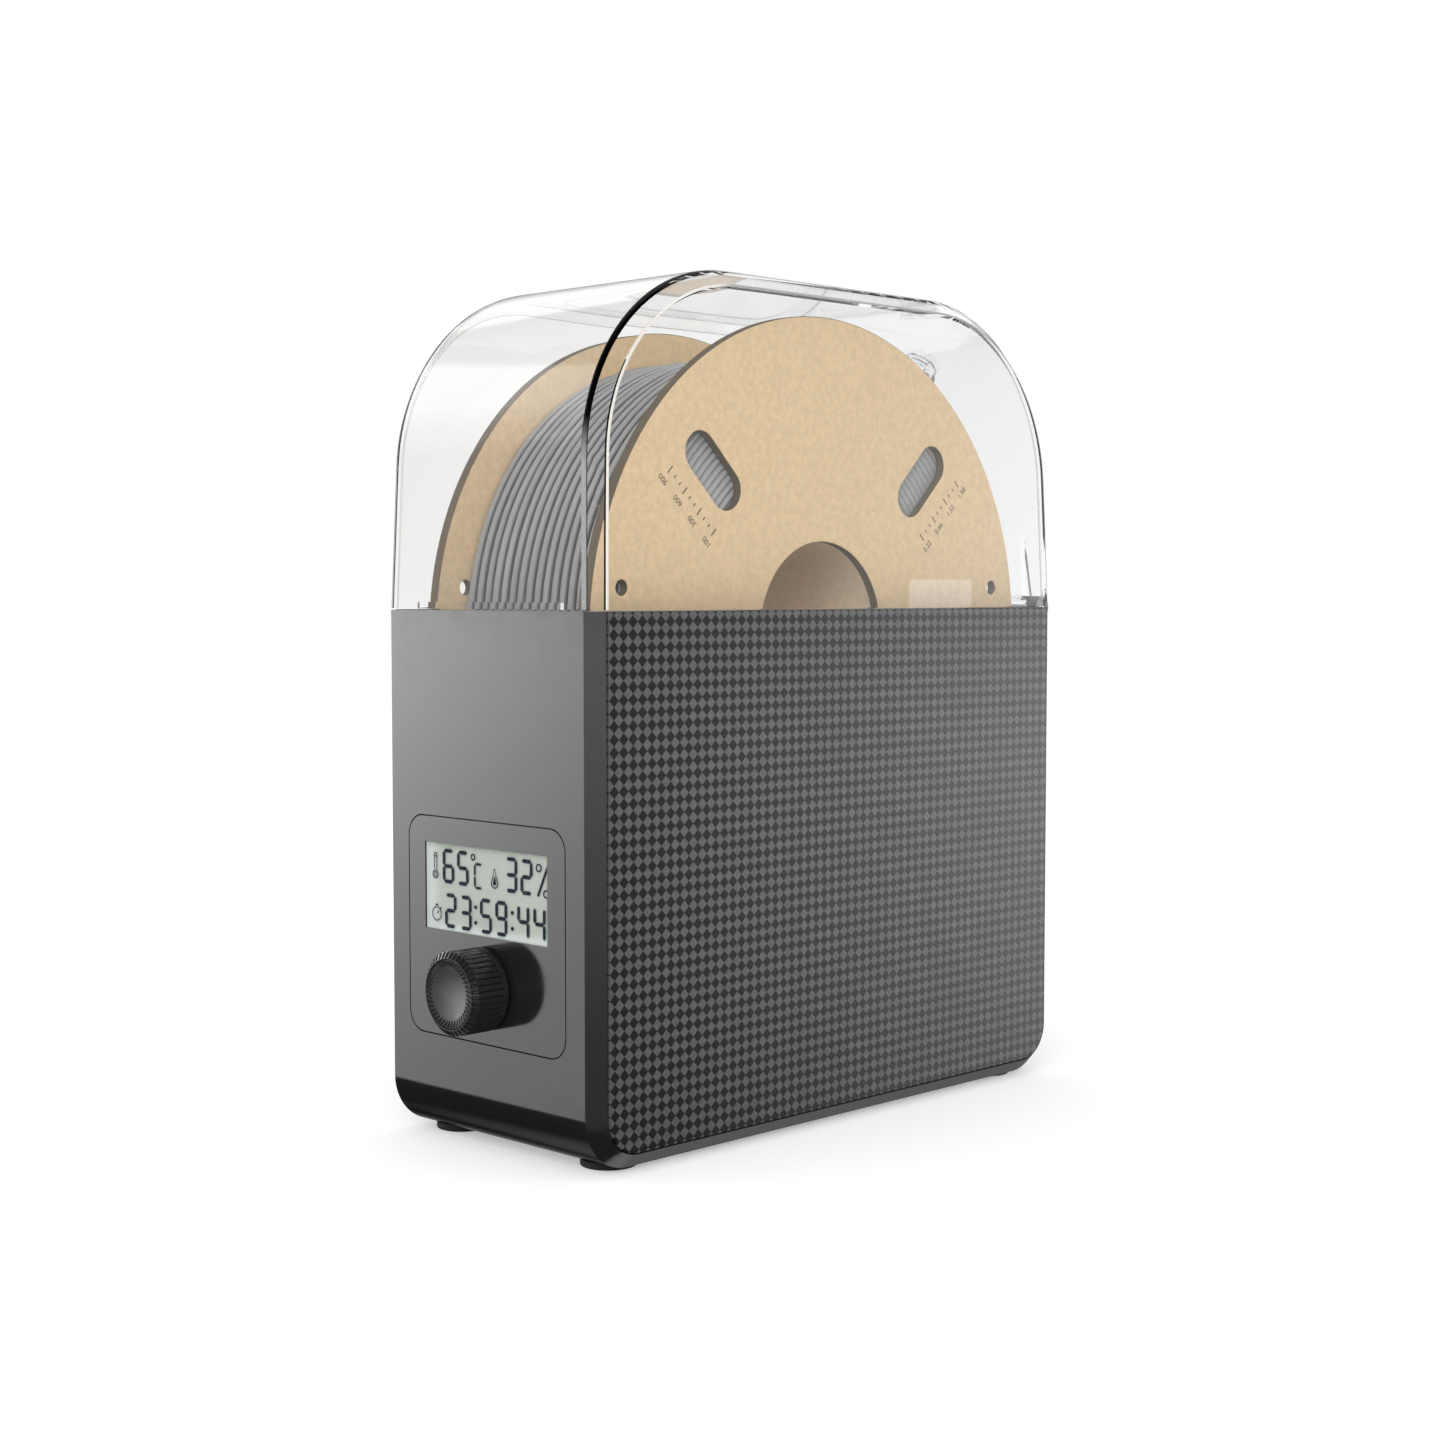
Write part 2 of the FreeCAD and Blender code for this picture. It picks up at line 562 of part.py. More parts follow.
def base_shell(upper):
    """The base's upper shell with its ledge, screw posts, hinge ears, seal groove and openings."""
    ledge = cut("ledge",
                box("ledge_block", ("-chamber_x - wall / 2", "cover_y", "deck_z - ledge_height"),
                    ("chamber_x + wall / 2", "inner_rear_y + wall / 2", "deck_z")),
                box("ledge_opening", ("-chamber_x + ledge_width", "front_y", "deck_z - 2 * ledge_height"),
                    ("chamber_x - ledge_width", "inner_rear_y - ledge_width", "deck_z + ledge_height")))
    posts, pilots = [], []
    for index, (side, x, y) in enumerate(post_places()):
        posts.append(cylinder(f"post_{index}", "tray_post_radius", "deck_z - floor_z", (x, y, "floor_z")))
        web = mirrored(side, "chamber_x - 2 * tray_post_radius", "chamber_x + wall / 2")
        posts.append(box(f"post_web_{index}", (web[0], f"{y} - wall / 2", "tray_z + fit"),
                         (web[1], f"{y} + wall / 2", "deck_z")))
        pilots.append(cylinder(f"post_pilot_{index}", "tray_screw_radius", "tray_screw_bite",
                               (x, y, "floor_z")))
    ears, pin_holes = [], []
    for side_name, side in SIDES:
        for ear_name, ear in SIDES:
            middle = f"({side} * hinge_spread + {ear} * (knuckle_length / 2 + fit + ear_length / 2))"
            name = f"ear_{side_name}_{ear_name}"
            low_x = f"{middle} - ear_length / 2"
            ears.append(cylinder(name + "_eye", "hinge_radius", "ear_length", (low_x, "hinge_y", "split_z"),
                                 "x"))
            ears.append(box(name + "_root", (low_x, "rear_y - wall / 2", "split_z - ear_drop"),
                            (f"{middle} + ear_length / 2", "hinge_y", "split_z")))
            pin_holes.append(cylinder(name + "_hole", "hinge_pin_radius", "ear_length",
                                      (low_x, "hinge_y", "split_z"), "x"))
    groove = cut("seal_groove_ring", seal_prism("groove_outer", "0", "split_z - seal_groove",
                                                "split_z + wall"),
                 seal_prism("groove_inner", "seal_width", "split_z - wall", "split_z + 2 * wall"))
    panel_seat = plate("panel_seat",
                       ("-control_width / 2 - seam", "front_y - wall",
                        "control_z - control_height / 2 - seam"),
                       ("control_width / 2 + seam", "panel_back_y",
                        "control_z + control_height / 2 + seam"),
                       "y", "control_radius + seam")
    opening = box("panel_opening", ("-opening_width / 2", "front_y - wall",
                                    "control_z - opening_height / 2"),
                  ("opening_width / 2", "inner_front_y + wall", "control_z + opening_height / 2"))
    inlet = box("inlet_opening", ("inlet_offset - inlet_width / 2", "inner_rear_y - wall",
                                  "inlet_z - inlet_height / 2"),
                ("inlet_offset + inlet_width / 2", "rear_y + wall", "inlet_z + inlet_height / 2"))
    solid = fuse("base_solid", upper, ledge, *posts, *ears)
    node(cut("base_shell", solid, groove, panel_seat, opening, inlet, *pilots, *pin_holes))
    node(cut("lid_seal", seal_prism("seal_outer", "0", "split_z - seal_groove", "split_z + seal_proud"),
             seal_prism("seal_inner", "seal_width", "split_z - wall", "split_z + wall")))
    pins = []
    for side_name, side in SIDES:
        length = "knuckle_length + 2 * fit + 2 * ear_length"
        pins.append(cylinder(f"hinge_pin_{side_name}", "hinge_pin_radius", length,
                             (f"{side} * hinge_spread - ({length}) / 2", "hinge_y", "split_z"), "x"))
    group("hinge_pins", pins)


def seal_prism(name, inset, low_z, high_z):
    """An upright block in the line of the rim, with cut corners."""
    x = f"half_width - panel_thickness - seal_inset - {inset}"
    y_inset = f"seal_inset + {inset}"
    return plate(name, (f"-({x})", f"front_y + {y_inset}", low_z), (x, f"rear_y - ({y_inset})", high_z),
                 "z", "edge_chamfer - panel_thickness", "Chamfer")


def bottom_tray(lower):
    """The tray under the base: seats for the feet, screw holes, intake slots and board posts."""
    cutters = []
    for end_name, end in ENDS:
        for side_name, side in SIDES:
            cutters.append(cylinder(f"foot_seat_{end_name}_{side_name}", "foot_radius",
                                    "foot_recess + foot_height",
                                    (*foot_place(side, end), "0")))
    screws = []
    for index, (_, x, y) in enumerate(post_places()):
        cutters.append(cylinder(f"screw_hole_{index}", "tray_screw_radius", "tray_floor",
                                (x, y, "bottom_z")))
        cutters.append(cylinder(f"screw_seat_{index}", "tray_screw_head", "screw_head", (x, y, "bottom_z")))
        screws.append(screw(f"tray_screw_{index}", "tray_screw_head", "tray_screw_radius",
                            "tray_floor + tray_screw_bite", (x, y, "bottom_z")))
    first = "-(intake_count - 1) / 2 * intake_pitch"
    for index in range(int(number("intake_count"))):
        middle = f"{first} + {index} * intake_pitch"
        cutters.append(box(f"intake_{index}",
                           (f"{middle} - intake_width / 2", "case_y - intake_length / 2", "0"),
                           (f"{middle} + intake_width / 2", "case_y + intake_length / 2", "tray_z")))
    standoffs = [
        cylinder(f"standoff_{index}", "standoff_radius", "power_z - floor_z + tray_floor / 2",
                 (x, y, "floor_z - tray_floor / 2"))
        for index, (x, y) in enumerate(standoff_places())
    ]
    node(cut("bottom_tray", fuse("tray_solid", lower, *standoffs), *cutters))
    group("tray_screws", screws)


def standoff_places():
    for _, side in SIDES:
        for _, end in ENDS:
            yield (f"{side} * (power_width / 2 - standoff_inset)",
                   f"power_y + {end} * (power_depth / 2 - standoff_inset)")


def screw(name, head_radius, radius, length, at):
    """A screw whose head lies on a point, its shank upwards."""
    return fuse(name, cylinder(name + "_head", head_radius, "screw_head", at),
                cylinder(name + "_shank", radius, length, at))


def control_panel():
    """The flush front panel with its display, encoder, knob and board."""
    face = plate("control_face", ("-control_width / 2", "front_y", "control_z - control_height / 2"),
                 ("control_width / 2", "panel_back_y",
                  "control_z + control_height / 2"), "y", "control_radius")
    window = box("lcd_window", ("-lcd_width / 2", "front_y - wall", "lcd_z - lcd_height / 2"),
                 ("lcd_width / 2", "panel_back_y + wall", "lcd_z + lcd_height / 2"))
    hole = cylinder("bushing_hole", "bushing_radius", "control_thickness + wall",
                    (0, "front_y - wall / 2", "knob_z"), "y")
    bosses, pilots, screws = [], [], []
    for side_name, side in SIDES:
        for level_name, level in (("low", -1), ("high", 1)):
            name = f"boss_{side_name}_{level_name}"
            x, z = f"{side} * boss_spread", f"knob_z + {level} * boss_rise"
            bosses.append(cylinder(name, "boss_radius", "module_depth + control_thickness / 2",
                                   (x, "front_y + control_thickness / 2", z), "y"))
            pilots.append(cylinder(name + "_pilot", "board_screw_radius", "module_depth",
                                   (x, "panel_back_y", z), "y"))
            shank = cylinder(name + "_shank", "board_screw_radius", "module_depth + board_thickness",
                             (x, "panel_back_y", z), "y")
            head = cylinder(name + "_head", "boss_radius", "screw_head", (x, "board_back_y", z), "y")
            screws.append(fuse(name + "_screw", shank, head))
    node(cut("control_panel", fuse("control_solid", face, *bosses), window, hole, *pilots))
    group("board_screws", screws)
    node(plate("lcd_lens", ("-lcd_width / 2", "front_y + lens_sink", "lcd_z - lcd_height / 2"),
               ("lcd_width / 2", "front_y + lens_sink + lens_thickness", "lcd_z + lcd_height / 2"), "y"))
    module = plate("lcd_frame", ("-lcd_width / 2 - module_border", "panel_back_y",
                                 "lcd_z - lcd_height / 2 - module_border"),
                   ("lcd_width / 2 + module_border", "board_y",
                    "lcd_z + lcd_height / 2 + module_border"), "y")
    glass = plate("lcd_glass", ("-lcd_width / 2", "front_y + lens_sink + lens_thickness",
                                "lcd_z - lcd_height / 2"),
                  ("lcd_width / 2", "panel_back_y + module_depth / 2", "lcd_z + lcd_height / 2"), "y")
    node(fuse("lcd_module", module, glass))
    board = plate("display_board_blank",
                  ("-opening_width / 2 + board_margin", "board_y",
                   "control_z - opening_height / 2 + board_margin"),
                  ("opening_width / 2 - board_margin", "board_back_y",
                   "control_z + opening_height / 2 - board_margin"),
                  "y")
    holes = [cylinder(f"board_hole_{side_name}_{level}", "board_screw_radius", "board_thickness",
                      (f"{side} * boss_spread", "board_y", f"knob_z + {level} * boss_rise"), "y")
             for side_name, side in SIDES for level in (-1, 1)]
    node(cut("display_board", board, *holes))
    encoder()
    knob()


def encoder():
    """Rotary encoder: body with bushing, turning shaft and the push switch's plunger."""
    block = box("encoder_block", ("-encoder_width / 2", "panel_back_y", "knob_z - encoder_width / 2"),
                ("encoder_width / 2", "board_y", "knob_z + encoder_width / 2"))
    bushing = cylinder("encoder_bushing", "bushing_radius", "control_thickness + module_depth / 2",
                       (0, "front_y", "knob_z"), "y")
    bore = cylinder("encoder_bore", "shaft_radius + running", "plunger_room_y - front_y + wall",
                    (0, "front_y - wall", "knob_z"), "y")
    node(cut("encoder_body", fuse("encoder_solid", block, bushing), bore))
    node(cylinder("encoder_shaft", "shaft_radius",
                  "shaft_end_y - (knob_front_y + cap_thickness + knob_web)",
                  (0, "knob_front_y + cap_thickness + knob_web", "knob_z"), "y"))
    node(cylinder("switch_plunger", "shaft_radius", "plunger_length", (0, "plunger_y", "knob_z"), "y"))


def knob():
    """Fluted knob with a bevelled front edge, and the dished cap set in it."""
    body = new_body("knob_turned")
    sketch = new_sketch(body, "knob_outline", "XZ_Plane", ("0", "0", "0"))
    circle(sketch, "knob_radius")
    pad(body, sketch, "knob_length")
    front = -number("knob_length")
    soften(body, "Chamfer", "knob_bevel", lambda edge: abs(edge.CenterOfMass.y - front) < 1e-3)
    flute = new_sketch(body, "flute_outline", "XZ_Plane", ("-flute_width / 2", "knob_radius - flute_depth",
                                                           "knob_bevel"))
    rectangle(flute, "flute_width", "2 * flute_depth")
    groove = body.newObject("PartDesign::Pocket", "flute")
    groove.Profile = flute
    groove.Reversed = True
    bind(groove, Length="knob_length")
    doc.recompute()
    ring = body.newObject("PartDesign::PolarPattern", "flutes")
    ring.Originals = [groove]
    ring.Axis = (sketch, ["N_Axis"])
    ring.Angle = 360
    bind(ring, Occurrences="flute_count")
    body.Tip = ring
    doc.recompute()
    move(body, (0, "knob_back_y", "knob_z"))
    seat = cylinder("cap_seat", "cap_radius", "cap_thickness", (0, "knob_front_y", "knob_z"), "y")
    bore = cylinder("knob_bore", "shaft_radius", "knob_length",
                    (0, "knob_front_y + cap_thickness + knob_web", "knob_z"), "y")
    node(cut("knob", body, seat, bore))
    ball = doc.addObject("Part::Sphere", "dish_ball")
    curve = "((dish_radius * dish_radius + dish_depth * dish_depth) / (2 * dish_depth))"
    bind(ball, Radius=curve)
    move(ball, (0, f"knob_front_y + dish_depth - {curve}", "knob_z"))
    disc = cylinder("cap_disc", "cap_radius", "cap_thickness", (0, "knob_front_y", "knob_z"), "y")
    node(cut("knob_cap", disc, ball))


def chamber():
    """Chamber floor with its vent slots, electronics cover and humidity sensor."""
    floor = plate("floor_blank", ("-chamber_x + fit", "cover_y", "deck_z"),
                  ("chamber_x - fit", "inner_rear_y - fit",
                   "deck_top_z"), "z", "inner_chamfer * 2", "Chamfer")
    first = "-(vent_count - 1) / 2 * vent_pitch"
    slots = []
    for index in range(int(number("vent_count"))):
        middle = f"{first} + {index} * vent_pitch"
        slots.append(box(f"vent_{index}", (f"{middle} - vent_width / 2", "case_y - vent_length / 2",
                                           "deck_z - wall"),
                         (f"{middle} + vent_width / 2", "case_y + vent_length / 2", "deck_top_z + wall")))
    node(cut("chamber_floor", floor, *slots))
    side = "chamber_x - inner_chamfer * 2"
    upright = box("cover_upright", (f"-({side})", "cover_y", "deck_top_z"),
                  (side, "cover_y + cover_thickness", "cover_z"))
    shelf = box("cover_shelf", (f"-({side})", "inner_front_y + fit", "cover_z - cover_thickness"),
                (side, "cover_y", "cover_z"))
    node(fuse("electronics_cover", upright, shelf))
    back = "cover_y + cover_thickness"
    case_piece = box("sensor_case", ("-sensor_width / 2", back,
                                     "bottom_z + sensor_level - sensor_height / 2"),
                     ("sensor_width / 2", f"{back} + sensor_depth",
                      "bottom_z + sensor_level + sensor_height / 2"))
    ports = [cylinder(f"sensor_port_{index}", "sensor_height / 8", "sensor_depth / 2",
                      (f"{index} * sensor_width / 4", f"{back} + sensor_depth / 2",
                       "bottom_z + sensor_level"), "y")
             for index in (-1, 0, 1)]
    node(cut("humidity_sensor", case_piece, *ports))


def heater_and_fan():
    """Heater core in its duct under the chamber floor, and the fan below it."""
    half = "duct_size / 2"
    duct = box("duct_block", (f"-{half}", f"case_y - {half}", "duct_z"),
               (half, f"case_y + {half}", "deck_z"))
    passage = box("duct_passage", ("-core_width / 2", "case_y - core_depth / 2", "duct_z - wall"),
                  ("core_width / 2", "case_y + core_depth / 2", "deck_z + wall"))
    core_low = "duct_z + (duct_height - core_height) / 2"
    block = box("core_block", ("-core_width / 2", "case_y - core_depth / 2", core_low),
                ("core_width / 2", "case_y + core_depth / 2", f"{core_low} + core_height"))
    channels = []
    for index in range(int(number("fin_count"))):
        middle = f"case_y + ({index} - (fin_count - 1) / 2) * core_depth / fin_count"
        channels.append(box(f"fin_channel_{index}", ("-core_width / 2 + fin_channel",
                                                     f"{middle} - fin_channel / 2", "duct_z"),
                            ("core_width / 2 - fin_channel", f"{middle} + fin_channel / 2", "deck_z")))
    node(cut("heater_core", block, *channels))
    frame = box("fan_block", (f"-{half}", f"case_y - {half}", "fan_z"),
                (half, f"case_y + {half}", "duct_z"))
    bore = cylinder("fan_throat", "fan_bore", "fan_height + 2 * wall", (0, "case_y", "fan_z - wall"))
    motor = cylinder("fan_motor", "fan_hub", "fan_base", (0, "case_y", "fan_z"))
    arms = [box("fan_arm_x", ("-fan_bore - wall / 2", "case_y - fan_strut / 2", "fan_z"),
                ("fan_bore + wall / 2", "case_y + fan_strut / 2", "fan_z + fan_base / 2")),
            box("fan_arm_y", ("-fan_strut / 2", "case_y - fan_bore - wall / 2", "fan_z"),
                ("fan_strut / 2", "case_y + fan_bore + wall / 2", "fan_z + fan_base / 2"))]
    pivot_hole = cylinder("fan_pivot_hole", "pivot_radius + running", "fan_base",
                          (0, "case_y", "fan_z + fan_base / 4"))
    screws, duct_holes, fan_holes = [], [], []
    for side_name, side in SIDES:
        for end_name, end in ENDS:
            name = f"fan_screw_{end_name}_{side_name}"
            at = (f"{side} * fan_screw_spread", f"case_y + {end} * fan_screw_spread")
            head = cylinder(name + "_head", "fan_screw_radius * 2", "screw_head",
                            (*at, "fan_z - screw_head"))
            shank = cylinder(name + "_shank", "fan_screw_radius", "fan_height + fan_screw_bite",
                             (*at, "fan_z"))
            screws.append(fuse(name, head, shank))
            fan_holes.append(cylinder(name + "_way", "fan_screw_radius", "fan_height", (*at, "fan_z")))
            duct_holes.append(cylinder(name + "_bite", "fan_screw_radius", "fan_screw_bite",
                                       (*at, "duct_z")))
    node(cut("heater_duct", duct, passage, *duct_holes))
    ring = cut("fan_ring", frame, bore)
    node(cut("fan_frame", fuse("fan_solid", ring, motor, *arms), pivot_hole, *fan_holes))
    group("fan_screws", screws)
    fan_rotor()


def fan_rotor():
    """Hub with pitched blades on a short pivot."""
    hub = cylinder("rotor_hub", "fan_hub", "rotor_height", (0, "case_y", "rotor_z"))
    pivot = cylinder("rotor_pivot", "pivot_radius", "fan_base / 2 + fit + wall",
                     (0, "case_y", "fan_z + fan_base / 2"))
    blades = []
    for index in range(int(number("blade_count"))):
        blade = doc.addObject("Part::Box", f"blade_{index}")
        bind(blade, Length="fan_bore", Width="blade_chord", Height="blade_thickness")
        turn = Rotation(Vector(0, 0, 1), 360 * index / number("blade_count"))
        tilt = turn * Rotation(Vector(1, 0, 0), number("blade_pitch"))
        middle = Vector(0, -number("blade_chord") / 2, -number("blade_thickness") / 2)
        hub_middle = Vector(0, number("case_y"), number("rotor_z + rotor_height / 2"))
        blade.Placement = FreeCAD.Placement(hub_middle + tilt.multVec(middle), tilt)
        blades.append(blade)
    sweep = cylinder("blade_sweep", "fan_bore - fan_tip_gap", "rotor_height", (0, "case_y", "rotor_z"))
    trimmed = common("blades_trimmed", fuse("blades", *blades), sweep)
    node(fuse("fan_rotor", hub, pivot, trimmed))


def power():
    """Power board with its transformer and capacitors, and the inlet with its pins."""
    half_w, half_d, top = "power_width / 2", "power_depth / 2", "power_z + board_thickness"
    node(box("power_board", (f"-{half_w}", f"power_y - {half_d}", "power_z"),
             (half_w, f"power_y + {half_d}", top)))
    coil_x = f"-{half_w} + standoff_inset"
    node(box("transformer", (coil_x, "power_y - coil_depth / 2", top),
             (f"{coil_x} + coil_width", "power_y + coil_depth / 2", f"{top} + coil_height")))
    cans = [cylinder(f"capacitor_{index}", "capacitor_radius", "capacitor_height",
                     (f"{half_w} - standoff_inset * 2",
                      f"power_y - {half_d} + capacitor_radius * {3 * index + 2}", top))
            for index in range(2)]
    group("capacitors", cans)
    low = ("inlet_offset - inlet_width / 2", "rear_y - inlet_depth", "inlet_z - inlet_height / 2")
    high = ("inlet_offset + inlet_width / 2", "rear_y + inlet_proud", "inlet_z + inlet_height / 2")
    barrel = box("inlet_barrel", low, high)
    flange = plate("inlet_rim", (f"{low[0]} - inlet_flange", "rear_y", f"{low[2]} - inlet_flange"),
                   (f"{high[0]} + inlet_flange", high[1], f"{high[2]} + inlet_flange"), "y", "inlet_flange")
    mouth_y = "rear_y + inlet_proud - inlet_recess"
    recess = new_body("inlet_mouth")
    outline = new_sketch(recess, "inlet_mouth_outline", "XZ_Plane",
                         (f"{low[0]} + inlet_wall", f"{low[2]} + inlet_wall",
                          "-(rear_y + inlet_proud + wall)"))
    rectangle(outline, "inlet_width - 2 * inlet_wall", "inlet_height - 2 * inlet_wall")
    pad(recess, outline, "inlet_recess + wall")
    top_edge = number(f"{high[2]} - inlet_wall")
    soften(recess, "Chamfer", "inlet_corner",
           lambda edge: runs_along("y")(edge) and abs(edge.CenterOfMass.z - top_edge) < 1e-3)
    pins, pin_ways = [], []
    back = f"({mouth_y}) - inlet_wall"
    for index in (-1, 0, 1):
        x = f"inlet_offset + {index} * blade_pin_spread"
        z = f"inlet_z + {1 - abs(index)} * blade_pin_lift - blade_pin_lift / 2"
        corners = ((f"{x} - blade_pin_width / 2", back, f"{z} - blade_pin_height / 2"),
                   (f"{x} + blade_pin_width / 2", f"({mouth_y}) + blade_pin_length",
                    f"{z} + blade_pin_height / 2"))
        pins.append(box(f"inlet_pin_{index + 1}", *corners))
        pin_ways.append(box(f"inlet_pin_way_{index + 1}", *corners))
    node(cut("power_inlet", fuse("inlet_solid", barrel, flange), recess, *pin_ways))
    group("inlet_pins", pins)


def rollers():
    """Two shafts under the spool, each with two rollers and a sleeve, held in a cradle at each side."""
    for side_name, side in SIDES:
        x_low, x_high = mirrored(side, "cradle_x", "cradle_x + cradle_thickness")
        pieces = [box(f"cradle_foot_{side_name}", (x_low, "case_y - roller_dy - cradle_tower",
                                                   "deck_top_z"),
                      (x_high, "case_y + roller_dy + cradle_tower", "deck_top_z + cradle_foot"))]
        holes = []
        for end_name, end in ENDS:
            name, y = f"cradle_{end_name}_{side_name}", f"case_y + {end} * roller_dy"
            pieces.append(box(name + "_tower", (x_low, f"{y} - cradle_tower", "deck_top_z"),
                              (x_high, f"{y} + cradle_tower", "roller_z")))
            pieces.append(cylinder(name + "_eye", "cradle_tower", "cradle_thickness",
                                   (x_low, y, "roller_z"), "x"))
            holes.append(cylinder(name + "_hole", "roller_shaft_radius", "cradle_thickness",
                                  (x_low, y, "roller_z"), "x"))
        node(cut(f"roller_cradle_{side_name}", fuse(f"cradle_solid_{side_name}", *pieces), *holes))
    for end_name, end in ENDS:
        y = f"case_y + {end} * roller_dy"
        reach = "cradle_x + cradle_thickness"
        node(cylinder(f"roller_shaft_{end_name}", "roller_shaft_radius", f"2 * ({reach})",
                      (f"-({reach})", y, "roller_z"), "x"))
        half = "(roller_x - roller_width / 2 - fit)"
        sleeve = cylinder(f"sleeve_{end_name}", "spacer_radius", f"2 * {half}", (f"-{half}", y, "roller_z"),
                          "x")
        sleeve_bore = cylinder(f"sleeve_bore_{end_name}", "roller_shaft_radius", f"2 * {half}",
                               (f"-{half}", y, "roller_z"), "x")
        node(cut(f"roller_spacer_{end_name}", sleeve, sleeve_bore))
        for side_name, side in SIDES:
            name = f"{end_name}_{side_name}"
            x_low, x_high = mirrored(side, "roller_x - roller_width / 2", "roller_end_x")
            tread = cylinder(f"tread_{name}", "roller_radius", "roller_width", (x_low, y, "roller_z"), "x")
            lips = [cylinder(f"lip_{name}_{index}", "roller_radius + roller_lip", "roller_lip_width",
                             (x, y, "roller_z"), "x")
                    for index, x in enumerate((x_low, f"{x_high} - roller_lip_width"))]
            bore = cylinder(f"roller_bore_{name}", "roller_shaft_radius + running", "roller_width",
                            (x_low, y, "roller_z"), "x")
            node(cut(f"roller_{name}", fuse(f"roller_solid_{name}", tread, *lips), bore))


def lid():
    """Clear lid with its hinge knuckles, ribs, front rim and filament outlet."""
    outer = case_block("lid_outer", "half_width", ("front_y", "rear_y"), ("lid_z", "top_z"),
                       "lid_radius", "edge_chamfer", lid=True)
    inner = case_block("lid_inner", "half_width - lid_wall", ("front_y + lid_wall", "rear_y - lid_wall"),
                       ("lid_z", "top_z - lid_wall"), "lid_radius - lid_wall",
                       "edge_chamfer - (2 - sqrt(2)) * lid_wall", lid=True)
    pieces = [cut("lid_hollow", outer, inner)]
    pieces.append(box("front_rim", ("-rim_width / 2", "front_y + lid_wall / 2", "lid_z"),
                      ("rim_width / 2", "front_y + lid_wall + rim_depth", "lid_z + rim_height")))
    cutters = []
    for side_name, side in SIDES:
        low_x = f"{side} * hinge_spread - knuckle_length / 2"
        high_x = f"{side} * hinge_spread + knuckle_length / 2"
        pieces.append(cylinder(f"knuckle_{side_name}", "hinge_radius", "knuckle_length",
                               (low_x, "hinge_y", "split_z"), "x"))
        pieces.append(box(f"knuckle_arm_{side_name}", (low_x, "rear_y - lid_wall / 2", "lid_z"),
                          (high_x, "hinge_y", "split_z + hinge_radius")))
        cutters.append(cylinder(f"knuckle_bore_{side_name}", "hinge_pin_radius + running", "knuckle_length",
                                (low_x, "hinge_y", "split_z"), "x"))
        for rib_name, rib in SIDES:
            middle = f"({side} * hinge_spread + {rib} * (knuckle_length / 2 - gusset_width / 2))"
            pieces.append(gusset(f"gusset_{side_name}_{rib_name}", middle))
    pieces.append(along_outlet(cylinder("outlet_boss", "outlet_boss", "lid_wall + 2 * outlet_rise",
                                        ("0", "0", "0")),
                               "lid_radius - lid_wall - outlet_rise"))
    cutters.append(along_outlet(cylinder("outlet_hole", "outlet_radius", "lid_wall + 4 * outlet_rise",
                                         ("0", "0", "0")),
                                "lid_radius - lid_wall - 2 * outlet_rise"))
    node(cut("lid_shell", fuse("lid_solid", *pieces), *cutters))
    length = "lid_wall + 2 * outlet_rise + outlet_collar_height"
    stem = cylinder("fitting_stem", "outlet_radius", length, ("0", "0", "0"))
    collar = cylinder("fitting_collar", "outlet_collar", "outlet_collar_height",
                      ("0", "0", f"{length} - outlet_collar_height"))
    bore = cylinder("fitting_bore", "outlet_bore", length, ("0", "0", "0"))
    fitting = cut("outlet_fitting", fuse("fitting_solid", stem, collar), bore)
    node(along_outlet(fitting, "lid_radius - lid_wall - outlet_rise"))


def along_outlet(thing, start):
    """Leans an upright piece as the outlet does, from a distance off the lid's rear arc centre."""
    thing.Placement.Rotation = Rotation(Vector(1, 0, 0), -number("outlet_angle"))
    return move(thing, ("0", f"lid_arc_y + ({start}) * sin(outlet_angle * 1 deg)",
                        f"lid_arc_z + ({start}) * cos(outlet_angle * 1 deg)"))


def gusset(name, middle):
    """A rib that tapers from the knuckle's arm up into the lid's rear wall."""
    rib = doc.addObject("Part::Wedge", name)
    low_x, high_x = f"{middle} - gusset_width / 2", f"{middle} + gusset_width / 2"
    reach = "hinge_reach + lid_wall / 2"
    bind(rib, Xmin=low_x, Xmax=high_x, X2min=low_x, X2max=high_x, Ymin="0",
         Ymax="gusset_height + hinge_radius",
         Zmin="0", Zmax=reach, Z2min=f"{reach} - lid_wall / 4", Z2max=reach)
    rib.Placement.Rotation = Rotation(Vector(1, 0, 0), 90)
    return move(rib, ("0", "hinge_y", "lid_z"))


def spool():
    """Card spool: two flanges, core tube, wound filament and a blank label."""
    for side_name, side in SIDES:
        flange(f"spool_flange_{side_name}", side)
    tube = cylinder("core_tube", "core_radius", "2 * flange_x", ("-flange_x", "case_y", "spool_z"), "x")
    tube_bore = cylinder("core_tube_bore", "hub_radius", "2 * flange_x", ("-flange_x", "case_y", "spool_z"),
                         "x")
    node(cut("spool_core", tube, tube_bore))
    pack = cylinder("pack_block", "pack_radius - 2 * strand_radius - running", "2 * flange_x",
                    ("-flange_x", "case_y", "spool_z"), "x")
    pack_bore = cylinder("pack_bore", "core_radius", "2 * flange_x", ("-flange_x", "case_y", "spool_z"),
                         "x")
    node(cut("filament_core", pack, pack_bore))
    winding()
    node(box("spool_label", ("spool_width / 2", "case_y + label_offset - label_width / 2",
                             "spool_z + label_lift - label_height / 2"),
             ("spool_width / 2 + label_thickness", "case_y + label_offset + label_width / 2",
              "spool_z + label_lift + label_height / 2")))


